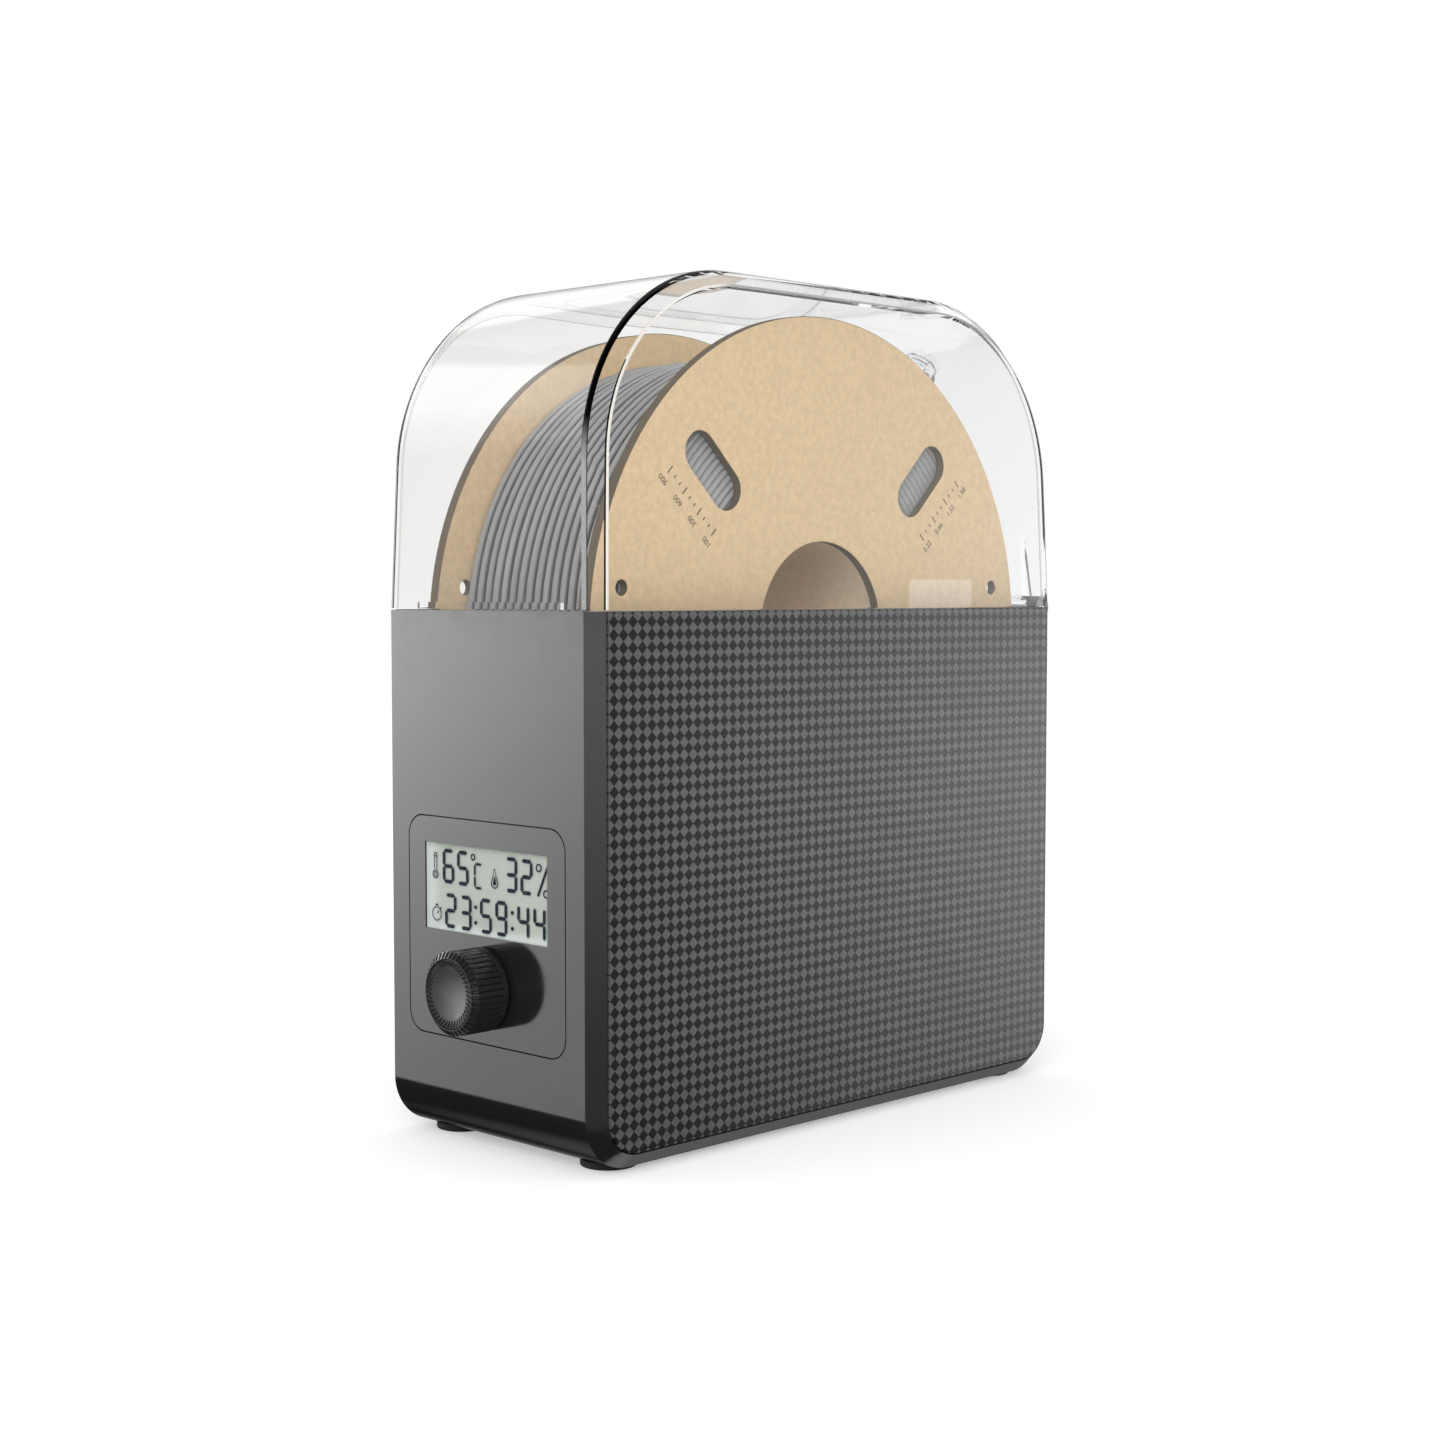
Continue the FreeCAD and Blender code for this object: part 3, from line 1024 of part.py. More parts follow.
def flange(name, side):
    """A disc with four slots along its radii and two holes near its rim."""
    body = new_body(name)
    outline = new_sketch(body, name + "_outline", "YZ_Plane", ("0", "0", "0"))
    circle(outline, "spool_radius")
    circle(outline, "hub_radius")
    pad(body, outline, "flange_thickness")
    slot = new_sketch(body, name + "_slot", "YZ_Plane", ("0", "0", "flange_thickness"))
    slot_outline(slot)
    window = pocket(body, slot, name + "_window")
    ring = body.newObject("PartDesign::PolarPattern", name + "_windows")
    ring.Originals = [window]
    ring.Axis = (outline, ["N_Axis"])
    ring.Angle = 360
    ring.Occurrences = 4
    body.Tip = ring
    doc.recompute()
    for end_name, end in ENDS:
        angle = "rim_hole_angle * 1 deg"
        hole = new_sketch(body, f"{name}_hole_{end_name}", "YZ_Plane",
                          (f"{end} * rim_hole_circle * cos({angle})", f"rim_hole_circle * sin({angle})",
                           "flange_thickness"))
        circle(hole, "rim_hole_radius")
        pocket(body, hole, f"{name}_rim_hole_{end_name}")
    start = "flange_x" if side > 0 else "-flange_x - flange_thickness"
    node(move(body, (start, "case_y", "spool_z")))


def pocket(body, sketch, name):
    """A cut right through a flange, whose volume has to drop."""
    before = body.Tip.Shape.Volume
    feature = body.newObject("PartDesign::Pocket", name)
    feature.Profile = sketch
    bind(feature, Length="2 * flange_thickness")
    doc.recompute()
    if feature.Shape.Volume > before - 1:
        raise RuntimeError(f"{name} cuts nothing")
    return feature


def slot_outline(sketch):
    """A round-ended slot along the radius at 45 degrees: two arcs and two lines."""
    sketch.AttachmentOffset = FreeCAD.Placement(sketch.AttachmentOffset.Base, Rotation(Vector(0, 0, 1), 45))
    radius, run = number("slot_width / 2"), number("slot_length - slot_width")
    near = number("slot_circle - (slot_length - slot_width) / 2")
    ends = [Part.ArcOfCircle(Part.Circle(Vector(near, 0), Vector(0, 0, 1), radius), math.pi / 2,
                             3 * math.pi / 2),
            Part.ArcOfCircle(Part.Circle(Vector(near + run, 0), Vector(0, 0, 1), radius), -math.pi / 2,
                             math.pi / 2)]
    lines = [Part.LineSegment(Vector(near, -radius), Vector(near + run, -radius)),
             Part.LineSegment(Vector(near + run, radius), Vector(near, radius))]
    for piece in (ends[0], lines[0], ends[1], lines[1]):
        sketch.addGeometry(piece)
    for index in range(4):
        sketch.addConstraint(Sketcher.Constraint("Tangent", index, 2, (index + 1) % 4, 1))
    sketch.addConstraint(Sketcher.Constraint("PointOnObject", 0, 3, -1))
    sketch.addConstraint(Sketcher.Constraint("PointOnObject", 2, 3, -1))
    dimension(sketch, "Radius", "end_radius", "slot_width / 2", 0)
    dimension(sketch, "DistanceX", "near_end", "slot_circle - (slot_length - slot_width) / 2", -1, 1, 0, 3)
    dimension(sketch, "DistanceX", "run", "slot_length - slot_width", 0, 3, 2, 3)


def biarc(start, start_way, end, end_way):
    """Two arcs that join two points with the given directions."""
    span, ways = end - start, start_way + end_way
    square = 2 * (1 - start_way.dot(end_way))
    along = span.dot(ways)
    reach = (math.sqrt(along * along + square * span.dot(span)) - along) / square
    first, last = start + start_way * reach, end - end_way * reach
    meet = (first + last) * 0.5
    return [tangent_arc(start, first, meet), tangent_arc(meet, last, end)]


def tangent_arc(start, corner, end):
    """The arc between two points whose tangents meet at a corner."""
    middle = (start + end) * 0.5
    half_chord, rise = (end - start).Length / 2, (corner - middle).Length
    sag = half_chord * math.tan(math.atan2(rise, half_chord) / 2)
    return Part.Arc(start, middle + (corner - middle).normalize() * sag, end).toShape()


def winding():
    """The outer layer of filament: one strand wound in a helix over the plain core, with straight ends."""
    orbit = number("pack_radius - strand_radius")
    pitch, turns, strand = number("strand_pitch"), int(number("strand_turns")), number("strand_radius")

    def helix(turn):
        angle = 2 * math.pi * turn
        point = Vector((turn - turns / 2) * pitch, orbit * math.sin(angle), -orbit * math.cos(angle))
        way = Vector(pitch / (2 * math.pi), orbit * math.cos(angle), orbit * math.sin(angle)).normalize()
        return point, way

    quarters = [helix(step / 4) for step in range(4 * turns + 1)]
    (first, first_way), (last, last_way) = quarters[0], quarters[-1]
    path = [Part.LineSegment(first - first_way * 2 * strand, first).toShape()]
    for (start, start_way), (end, end_way) in zip(quarters, quarters[1:]):
        path += biarc(start, start_way, end, end_way)
    path.append(Part.LineSegment(last, last + last_way * 2 * strand).toShape())
    section = Part.Wire(Part.Circle(first - first_way * 2 * strand, first_way, strand).toShape())
    tube = Part.BRepOffsetAPI.MakePipeShell(Part.Wire(path))
    tube.add(section)
    tube.build()
    tube.makeSolid()
    feature = doc.addObject("Part::Feature", "filament_winding")
    feature.Shape = tube.shape()
    node(move(feature, (0, "case_y", "spool_z")))
    points = [helix(step / 48)[0] for step in range(48 * turns + 1)]
    gap = min((a - b).Length for i, a in enumerate(points) for b in points[i + 24:i + 73]) - 2 * strand
    print(f"least gap between turns {gap:.2f} mm")


def check_and_write():
    """Stops on a failed object, then writes each sub-part."""
    doc.recompute()
    failed = [thing.Label for thing in doc.Objects if {"Invalid", "Error"} & set(thing.State)]
    if failed:
        raise RuntimeError(f"failed objects: {failed}")
    bad = [thing.Label for thing in nodes if thing.Shape.isNull() or not thing.Shape.isValid()]
    if bad:
        raise RuntimeError(f"bad shapes: {bad}")
    os.makedirs("parts", exist_ok=True)
    for thing in nodes:
        thing.Shape.exportStep(f"parts/{thing.Label}.step")
    print(f"wrote {len(nodes)} sub-parts")


case()
control_panel()
chamber()
heater_and_fan()
power()
rollers()
lid()
spool()
check_and_write()
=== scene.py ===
"""Filament dryer box: dresses the packed frame with its finished pieces, finishes, light and camera."""

import math

import bmesh
import bpy
from mathutils import Matrix, Vector


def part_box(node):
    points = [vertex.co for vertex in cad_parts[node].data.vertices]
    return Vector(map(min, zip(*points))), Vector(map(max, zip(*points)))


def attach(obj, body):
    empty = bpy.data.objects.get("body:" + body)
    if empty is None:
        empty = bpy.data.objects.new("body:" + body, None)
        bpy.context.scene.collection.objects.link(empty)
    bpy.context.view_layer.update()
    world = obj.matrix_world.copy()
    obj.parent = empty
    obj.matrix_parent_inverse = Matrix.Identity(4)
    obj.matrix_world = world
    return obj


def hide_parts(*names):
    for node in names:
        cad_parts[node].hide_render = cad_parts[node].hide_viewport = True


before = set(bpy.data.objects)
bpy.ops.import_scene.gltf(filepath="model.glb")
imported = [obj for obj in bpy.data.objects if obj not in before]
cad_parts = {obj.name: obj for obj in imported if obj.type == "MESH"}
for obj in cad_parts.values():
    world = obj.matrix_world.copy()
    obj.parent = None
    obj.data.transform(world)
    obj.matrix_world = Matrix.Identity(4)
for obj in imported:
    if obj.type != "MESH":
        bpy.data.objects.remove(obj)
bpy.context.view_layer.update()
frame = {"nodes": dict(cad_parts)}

bl_info = {
    "name": "Filament Dryer Box",
    "version": (1, 0, 0),
    "blender": (4, 5, 0),
    "location": "3D View > Sidebar > Dryer Box",
    "description": "Builds the finished pieces of a filament dryer box round its packed frame",
    "category": "Add Mesh",
}

MM = 0.001
TURN = 2 * math.pi
FRONT_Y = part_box("base_shell")[0].y
HALF_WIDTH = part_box("side_panel_right")[1].x
SPOOL_CENTRE = sum(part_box("spool_flange_right"), Vector()) / 2 * Vector((0.0, 1.0, 1.0))
KNOB_CENTRE = sum(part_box("knob"), Vector()) / 2 * Vector((1.0, 0.0, 1.0))
ACROSS = Vector((1.0, 0.0, 0.0))
BACKWARD = Vector((0.0, 1.0, 0.0))
UP = Vector((0.0, 0.0, 1.0))
SIDES = (("left", -1), ("right", 1))
FLUTE_STEPS = 6


# Shader trees

def add_node(tree, kind, inputs=None, **settings):
    """A shader node with its settings, and its inputs as plain values or as sockets to link from."""
    node = tree.nodes.new("ShaderNode" + kind)
    for name, value in settings.items():
        setattr(node, name, value)
    for name, value in (inputs or {}).items():
        if isinstance(value, bpy.types.NodeSocket):
            tree.links.new(value, node.inputs[name])
        else:
            node.inputs[name].default_value = value
    return node


def combine(tree, operation, *values):
    """The result of a Math node on sockets and numbers."""
    return add_node(tree, "Math", dict(enumerate(values)), operation=operation).outputs[0]


def chain(tree, operation, first, *others):
    """The result of one kind of Math node on several values, one after the other."""
    for value in others:
        first = combine(tree, operation, first, value)
    return first


def limits(tree, value, start, end, low=0.0, high=1.0, smooth=False):
    """A value carried from one range to another and held at its ends."""
    kind = "SMOOTHSTEP" if smooth else "LINEAR"
    inputs = {"Value": value, "From Min": start, "From Max": end, "To Min": low, "To Max": high}
    return add_node(tree, "MapRange", inputs, interpolation_type=kind).outputs[0]


def blend_colours(tree, factor, first, second):
    """A colour between two colours, each a plain colour or a socket."""
    mix = add_node(tree, "Mix", {0: factor}, data_type="RGBA")
    for index, colour in ((6, first), (7, second)):
        if isinstance(colour, bpy.types.NodeSocket):
            tree.links.new(colour, mix.inputs[index])
        else:
            mix.inputs[index].default_value = (*colour, 1.0)
    return mix.outputs[2]


def shade(colour, factor):
    """A plain colour made darker or lighter."""
    return tuple(channel * factor for channel in colour)


def object_place(tree, stretch=None):
    """Object coordinates, stretched along the axes where that is asked for."""
    place = add_node(tree, "TexCoord").outputs["Object"]
    if stretch is None:
        return place
    return add_node(tree, "Mapping", {"Vector": place, "Scale": stretch}).outputs[0]


def speckle(tree, per_metre, detail=2.0, stretch=None):
    """Noise on the object, with a number of steps in a metre."""
    inputs = {"Vector": object_place(tree, stretch), "Scale": per_metre, "Detail": detail}
    return add_node(tree, "TexNoise", inputs).outputs[0]


def spread(tree, noise, low, high):
    """The middle range of a noise carried to a range of its own."""
    return limits(tree, noise, 0.3, 0.7, low, high)


def seen_rays(tree):
    """1 for what the camera sees, straight or through clear plastic, and 0 for light and mirrors."""
    path = add_node(tree, "LightPath").outputs
    return combine(tree, "MAXIMUM", path["Is Camera Ray"], path["Is Transmission Ray"])


def new_finish(name, **plain):
    """A material with its surface shader; plain numbers go straight on the shader's sockets."""
    material = bpy.data.materials.new(name)
    material.use_nodes = True
    tree = material.node_tree
    shader = tree.nodes["Principled BSDF"]
    for socket, value in plain.items():
        shader.inputs[socket.replace("_", " ").title().replace("Ior", "IOR")].default_value = value
    return material, tree, shader


def raise_bumps(tree, shader, height, depth):
    """Bumps of a real depth in metres on a shader's surface."""
    bump = add_node(tree, "Bump", {"Strength": 1.0, "Distance": depth, "Height": height})
    tree.links.new(bump.outputs[0], shader.inputs["Normal"])


def paint(tree, shader, colour, roughness):
    """Links a colour and a roughness that change over the surface."""
    tree.links.new(colour, shader.inputs["Base Color"])
    tree.links.new(roughness, shader.inputs["Roughness"])


# Finishes

def moulded(name, colour, roughness, grain=1500.0, depth=0.01 * MM, mottle=0.12, **plain):
    """Moulded plastic or rubber: faint mottling, uneven gloss and a fine grain."""
    material, tree, shader = new_finish(name, **plain)
    cloud = speckle(tree, 60.0, 3.0)
    tone = blend_colours(tree, cloud, shade(colour, 1 - mottle), shade(colour, 1 + mottle))
    paint(tree, shader, tone, spread(tree, speckle(tree, 220.0), roughness * 0.85, roughness * 1.15))
    raise_bumps(tree, shader, speckle(tree, grain), depth)
    return material


def case_plastic(name, case):
    """The smooth plastic of the base and its control panel."""
    return moulded(name, case.plastic, case.plastic_roughness, grain=500.0, depth=0.0003 * MM, mottle=0.06,
                   specular_ior_level=case.plastic_gloss)


def brushed(name, colour, roughness, stretch):
    """Bare metal with fine lines along one way."""
    material, tree, shader = new_finish(name, metallic=1.0)
    lines = speckle(tree, 900.0, 3.0, stretch)
    tone = blend_colours(tree, lines, shade(colour, 0.82), shade(colour, 1.08))
    paint(tree, shader, tone, spread(tree, lines, roughness * 0.7, roughness * 1.3))
    raise_bumps(tree, shader, lines, 0.006 * MM)
    return material


def clear_plastic(name, colour, edge_shade_colour, index, edge_start, roughness=0.0):
    """Clear plastic with painted shade where it is seen edge on, in place of the dark lines along its edges,
    and which lets lamp light through.
    """
    material, tree, shader = new_finish(name, transmission_weight=1.0, ior=index)
    # Painted shade: the colour darkens towards the edge-on colour as the surface turns away, standing in for
    # the dark edge lines that refraction gives.
    facing = add_node(tree, "LayerWeight", {"Blend": 0.5}).outputs["Facing"]
    tint_and_edge_shade = blend_colours(tree, limits(tree, facing, edge_start, 1.0), colour, edge_shade_colour)
    smears = limits(tree, speckle(tree, 40.0), 0.45, 0.75, roughness, roughness + 0.003)
    paint(tree, shader, tint_and_edge_shade, smears)
    pane = (*(math.sqrt(part) for part in colour), 1.0)
    through = add_node(tree, "BsdfTransparent", {"Color": pane}).outputs[0]
    path = add_node(tree, "LightPath")
    surface = shader.outputs[0]
    for kind in ("Is Diffuse Ray", "Is Shadow Ray"):
        surface = add_node(tree, "MixShader", {0: path.outputs[kind], 1: surface, 2: through}).outputs[0]
    tree.links.new(surface, tree.nodes["Material Output"].inputs["Surface"])
    return material


def painted_lid_edge(name, front_colour, front_foot, settings):
    """A rounded edge of the clear lid, painted as an edge line: painted grey, with a painted colour of its
    own round the front bend above a level.
    """
    material, tree, shader = new_finish(name, transmission_weight=0.25)
    parts = add_node(tree, "SeparateXYZ", {0: object_place(tree)})
    bend_end = FRONT_Y + settings.bend_radius
    ahead = limits(tree, parts.outputs["Y"], bend_end, bend_end - settings.fade / 2, smooth=True)
    above = limits(tree, parts.outputs["Z"], front_foot, front_foot + settings.fade, smooth=True)
    # Where the painted line takes the front colour: round the front bend and above a level.
    bend = combine(tree, "MULTIPLY", ahead, above)
    tone = blend_colours(tree, bend, settings.painted_edge_grey, front_colour)
    paint(tree, shader, tone, spread(tree, speckle(tree, 300.0), 0.2, 0.3))
    return material


def pressed_card(name, colour, fleck):
    """Pressed card: soft clouds, fine dark and light flecks and a fibrous surface."""
    material, tree, shader = new_finish(name, specular_ior_level=0.25)
    cloud = limits(tree, speckle(tree, 420.0, 4.0), 0.38, 0.62)
    tone = blend_colours(tree, cloud, shade(colour, 0.91), shade(colour, 1.01))
    fibres = speckle(tree, 2600.0, 4.0, (1.0, 0.45, 1.0))
    flecks = limits(tree, fibres, 0.5, 0.7, 0.0, 0.4)
    paint(tree, shader, blend_colours(tree, flecks, tone, fleck), spread(tree, fibres, 0.72, 0.92))
    raise_bumps(tree, shader, fibres, 0.015 * MM)
    return material


def diamond_weave(name, settings):
    """Panel finish of plain dark diamonds and paler ones with fine upright ribs."""
    material, tree, shader = new_finish(name, specular_ior_level=settings.weave_gloss)
    place = object_place(tree)
    size = math.sqrt(2) / settings.weave_pitch
    turn = {"Vector": place, "Location": (0.5, 0.0, 0.0), "Scale": (0.0, size, size),
            "Rotation": (math.radians(45), 0.0, 0.0)}
    turned_place = add_node(tree, "Mapping", turn).outputs[0]
    pale = add_node(tree, "TexChecker", {"Vector": turned_place, "Scale": 1.0}).outputs["Fac"]
    along = add_node(tree, "SeparateXYZ", {0: place}).outputs["Y"]
    ribs = combine(tree, "SINE", combine(tree, "MULTIPLY", along, TURN / settings.weave_rib))
    yarn = spread(tree, speckle(tree, 1800.0, 3.0), 0.82, 1.12)
    glow = chain(tree, "MULTIPLY", pale, limits(tree, ribs, -1.0, 1.0, 0.68, 1.0), yarn)
    tone = blend_colours(tree, glow, settings.weave_dark, settings.weave_pale)
    paint(tree, shader, tone, limits(tree, pale, 0.0, 1.0, 0.23, 0.2))
    tree.links.new(limits(tree, pale, 0.0, 1.0, 0.0, 0.4), shader.inputs["Metallic"])
    raise_bumps(tree, shader, glow, 0.05 * MM)
    return material


def strand_finish(name, colour, crest):
    """Extruded filament: satin, with slow changes of tone, and painted shade in the grooves below a crest
    radius.
    """
    material, tree, shader = new_finish(name, specular_ior_level=0.55)
    slow = speckle(tree, 26.0, stretch=(14.0, 1.0, 1.0))
    tone = blend_colours(tree, spread(tree, slow, 0.0, 1.0), shade(colour, 0.8), shade(colour, 1.12))
    flat = object_place(tree, (0.0, 1.0, 1.0))
    radius = add_node(tree, "VectorMath", {0: flat, 1: SPOOL_CENTRE}, operation="DISTANCE").outputs["Value"]
    # Painted shade: the filament darkens below the crest radius, where the shade between strands falls.
    groove = limits(tree, radius, crest, crest - 0.8 * MM, smooth=True)
    tone_with_groove_shade = blend_colours(tree, groove, tone, shade(colour, 0.12))
    paint(tree, shader, tone_with_groove_shade, spread(tree, slow, 0.3, 0.42))
    raise_bumps(tree, shader, speckle(tree, 1200.0), 0.01 * MM)
    return material


def display_ground(name, colour, rim_colour):
    """The pale reflector of the display, lighter along its left and lower edges."""
    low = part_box("lcd_lens")[0]
    material, tree, shader = new_finish(name, specular_ior_level=0.2)
    parts = add_node(tree, "SeparateXYZ", {0: object_place(tree)})
    left = limits(tree, parts.outputs["X"], low.x + 7 * MM, low.x, smooth=True)
    foot = limits(tree, parts.outputs["Z"], low.z + 4 * MM, low.z, smooth=True)
    edge = combine(tree, "MAXIMUM", left, foot)
    grain = speckle(tree, 3000.0)
    share = combine(tree, "MULTIPLY_ADD", edge, 0.6, spread(tree, grain, -0.04, 0.04))
    paint(tree, shader, blend_colours(tree, share, colour, rim_colour), spread(tree, grain, 0.5, 0.6))
    return material


def circuit_board(name, colour, copper):
    """Solder mask with paler tracks and small pads."""
    material, tree, shader = new_finish(name, specular_ior_level=0.5)
    place = object_place(tree)
    cells = add_node(tree, "TexVoronoi", {"Vector": place, "Scale": 260.0}, feature="DISTANCE_TO_EDGE")
    tracks = limits(tree, cells.outputs["Distance"], 0.05, 0.1, 1.0, 0.0)
    pads = add_node(tree, "TexVoronoi", {"Vector": place, "Scale": 420.0, "Randomness": 0.3})
    dots = limits(tree, pads.outputs["Distance"], 0.12, 0.16, 1.0, 0.0)
    mask = blend_colours(tree, combine(tree, "MULTIPLY", tracks, 0.5), colour, shade(colour, 2.2))
    paint(tree, shader, blend_colours(tree, dots, mask, copper), limits(tree, dots, 0.0, 1.0, 0.4, 0.25))
    raise_bumps(tree, shader, combine(tree, "ADD", tracks, dots), 0.03 * MM)
    return material


def wound_tape(name, colour):
    """Transformer tape in overlapping bands."""
    material, tree, shader = new_finish(name, specular_ior_level=0.4)
    inputs = {"Vector": object_place(tree), "Scale": 70.0, "Distortion": 0.4}
    bands = add_node(tree, "TexWave", inputs, bands_direction="Z").outputs["Fac"]
    tone = blend_colours(tree, bands, shade(colour, 0.8), shade(colour, 1.1))
    paint(tree, shader, tone, limits(tree, bands, 0.0, 1.0, 0.35, 0.5))
    raise_bumps(tree, shader, bands, 0.05 * MM)
    return material


def vented_plastic(name, colour, hole_pitch):
    """Sensor housing with rows of small holes, drawn as shallow bumps with painted shade in them."""
    material, tree, shader = new_finish(name)
    grid = {"Vector": object_place(tree), "Scale": 1 / hole_pitch, "Randomness": 0.0}
    cells = add_node(tree, "TexVoronoi", grid)
    holes_and_shade = limits(tree, cells.outputs["Distance"], 0.28, 0.34, 1.0, 0.0)
    # Painted shade: the holes are coloured nearly black, standing in for the shade inside them.
    tone = blend_colours(tree, holes_and_shade, colour, shade(colour, 0.08))
    paint(tree, shader, tone, limits(tree, holes_and_shade, 0.0, 1.0, 0.45, 0.8))
    raise_bumps(tree, shader, limits(tree, holes_and_shade, 0.0, 1.0, 1.0, 0.0), 0.2 * MM)
    return material


# Meshes

def block(bm, low, high):
    """A box between two corners."""
    size = Vector(high) - Vector(low)
    middle = (Vector(low) + Vector(high)) / 2
    place = Matrix.Translation(middle) @ Matrix.Diagonal((*size, 1.0))
    return bmesh.ops.create_cube(bm, size=1.0, matrix=place)["verts"]


def round_edges(bm, edges, offset, segments, clamped=True):
    """Rounds the given edges and gives the new faces."""
    made = bmesh.ops.bevel(bm, geom=list(edges), offset=offset, offset_type="OFFSET", segments=segments,
                           profile=0.5, affect="EDGES", clamp_overlap=clamped, material=-1)
    return made["faces"]


def sharp_edges(bm, least=math.radians(25), test=lambda point: True):
    """Edges that turn by more than an angle, both of whose ends pass a test."""
    return [edge for edge in bm.edges if len(edge.link_faces) == 2 and edge.calc_face_angle() > least
            and all(test(vert.co) for vert in edge.verts)]


def cad_copy(node):
    """A merged copy of a packed node's mesh, with its flat faces joined up."""
    bm = bmesh.new()
    bm.from_mesh(frame["nodes"][node].data)
    bmesh.ops.remove_doubles(bm, verts=bm.verts, dist=0.002 * MM)
    bmesh.ops.dissolve_limit(bm, angle_limit=math.radians(0.4), verts=bm.verts, edges=bm.edges)
    return bm


def turned(bm, profile, centre, axis, away, steps):
    """A closed profile of (radius, distance along the axis) spun right round an axis."""
    ring = [bm.verts.new(centre + away * radius + axis * along) for radius, along in profile]
    edges = [bm.edges.new(pair) for pair in zip(ring, ring[1:])]
    bmesh.ops.spin(bm, geom=ring + edges, cent=centre, axis=axis, angle=TURN, steps=steps, use_merge=True)
    bmesh.ops.remove_doubles(bm, verts=bm.verts, dist=0.001 * MM)
    bmesh.ops.recalc_face_normals(bm, faces=bm.faces)


def finish_piece(name, bm, body, materials, replaced=(), sharp=math.radians(30), normals=None):
    """Makes a mesh into a piece that moves with a body and stands for the nodes it replaces."""
    mesh = bpy.data.meshes.new(name)
    bm.to_mesh(mesh)
    bm.free()
    for material in materials:
        mesh.materials.append(material)
    mesh.shade_smooth()
    mesh.set_sharp_from_angle(angle=sharp)
    piece = bpy.data.objects.new(name, mesh)
    bpy.context.scene.collection.objects.link(piece)
    if normals:
        mesh.normals_split_custom_set(normals(mesh))
    else:
        piece.modifiers.new("Even normals", "WEIGHTED_NORMAL").keep_sharp = True
    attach(piece, body)
    if replaced:
        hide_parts(*replaced)


def dress(material, *names):
    """Gives carried-over nodes a finish."""
    for name in names:
        node = frame["nodes"][name]
        node.data.materials.clear()
        node.data.materials.append(material)


# Settings

def colour_setting(name, description, default):
    """A colour that a user can change."""
    return bpy.props.FloatVectorProperty(name=name, description=description, subtype="COLOR", size=3, min=0.0,
                                         max=1.0, default=default)


def length_setting(name, description, default):
    """A length that a user can change."""
    return bpy.props.FloatProperty(name=name, description=description, subtype="DISTANCE", unit="LENGTH",
                                   min=0.0, precision=5, default=default)


def place_setting(name, description, default):
    """A point that a user can move."""
    return bpy.props.FloatVectorProperty(name=name, description=description, subtype="TRANSLATION",
                                         unit="LENGTH", default=default)


def factor_setting(name, description, default, largest=1.0):
    """A plain factor that a user can change."""
    return bpy.props.FloatProperty(name=name, description=description, min=0.0, max=largest, default=default)


def count_setting(name, description, default):
    """A number of repeats that a user can change."""
    return bpy.props.IntProperty(name=name, description=description, min=1, default=default)


class CaseSettings(bpy.types.PropertyGroup):
    """Sizes and colours of the base and its side panels."""
    plastic: colour_setting("Case colour", "Smooth plastic of the base", (0.014, 0.014, 0.0145))
    plastic_roughness: factor_setting("Case roughness", "Blur of the reflections in the base", 0.11)
    plastic_gloss: factor_setting("Case gloss", "Strength of the reflections in the base", 1.0)
    edge: length_setting("Edge rounding", "Rounding of the base's edges", 0.45 * MM)
    panel_corner: length_setting("Panel corner", "Lower corners of the side panels", 11.5 * MM)
    weave_pitch: length_setting("Weave pitch", "Width and height of a diamond", 3.758 * MM)
    weave_rib: length_setting("Weave rib", "Rib to rib in the pale diamonds", 0.54 * MM)
    weave_dark: colour_setting("Dark diamonds", "Side panels' dark diamonds", (0.005, 0.005, 0.0052))
    weave_pale: colour_setting("Pale diamonds", "Side panels' pale diamonds", (0.135, 0.135, 0.1375))
    weave_gloss: factor_setting("Weave gloss", "Strength of the reflections in the side panels", 0.6)
    rubber: colour_setting("Foot colour", "Rubber of the feet", (0.02, 0.02, 0.02))


class LidSettings(bpy.types.PropertyGroup):
    """Sizes and colours of the clear lid."""
    clear: colour_setting("Lid colour", "Tint of the clear plastic", (0.965, 0.967, 0.967))
    # Painted shade: the dark colour the clear plastic takes where it is seen edge on.
    painted_edge_shade: colour_setting("Edge tint", "Tint of the plastic where it is seen edge on", (0.1, 0.1, 0.105))
    # Painted edge lines on the lid's rounded edges: grey all along, black round the front bend and a pale
    # highlight at the front of the sides, standing in for refraction and reflection.
    painted_edge_grey: colour_setting("Edge colour", "Edges of the lid's top and rear", (0.42, 0.42, 0.42))
    bend: colour_setting("Bend colour", "Edge of the lid round its front bend", (0.0, 0.0, 0.0))
    cheek: colour_setting("Cheek colour", "Edge of the lid's side at its front", (0.95, 0.92, 0.88))
    edge_start: factor_setting("Edge start", "How far round the plastic has turned where it darkens", 0.8)
    index: factor_setting("Refraction", "Index of refraction of the lid", 1.49, 3.0)
    bend_radius: length_setting("Bend radius", "Outer radius of the lid's two bends", 60.0 * MM)
    bend_foot: length_setting("Bend foot", "Where the bend's colour starts above the seam", 40.0 * MM)
    fade: length_setting("Edge fade", "Length over which the edges change colour", 16.0 * MM)
    edge: length_setting("Edge rounding", "Rounding of the lid's side edges", 0.45 * MM)
    rim: length_setting("Rim rounding", "Rounding of the edges round the lid's bend", 0.9 * MM)
    fitting: colour_setting("Fitting colour", "Filament outlet fitting", (0.95, 0.955, 0.955))
    seal: colour_setting("Seal colour", "Silicone cord under the lid", (0.32, 0.32, 0.32))


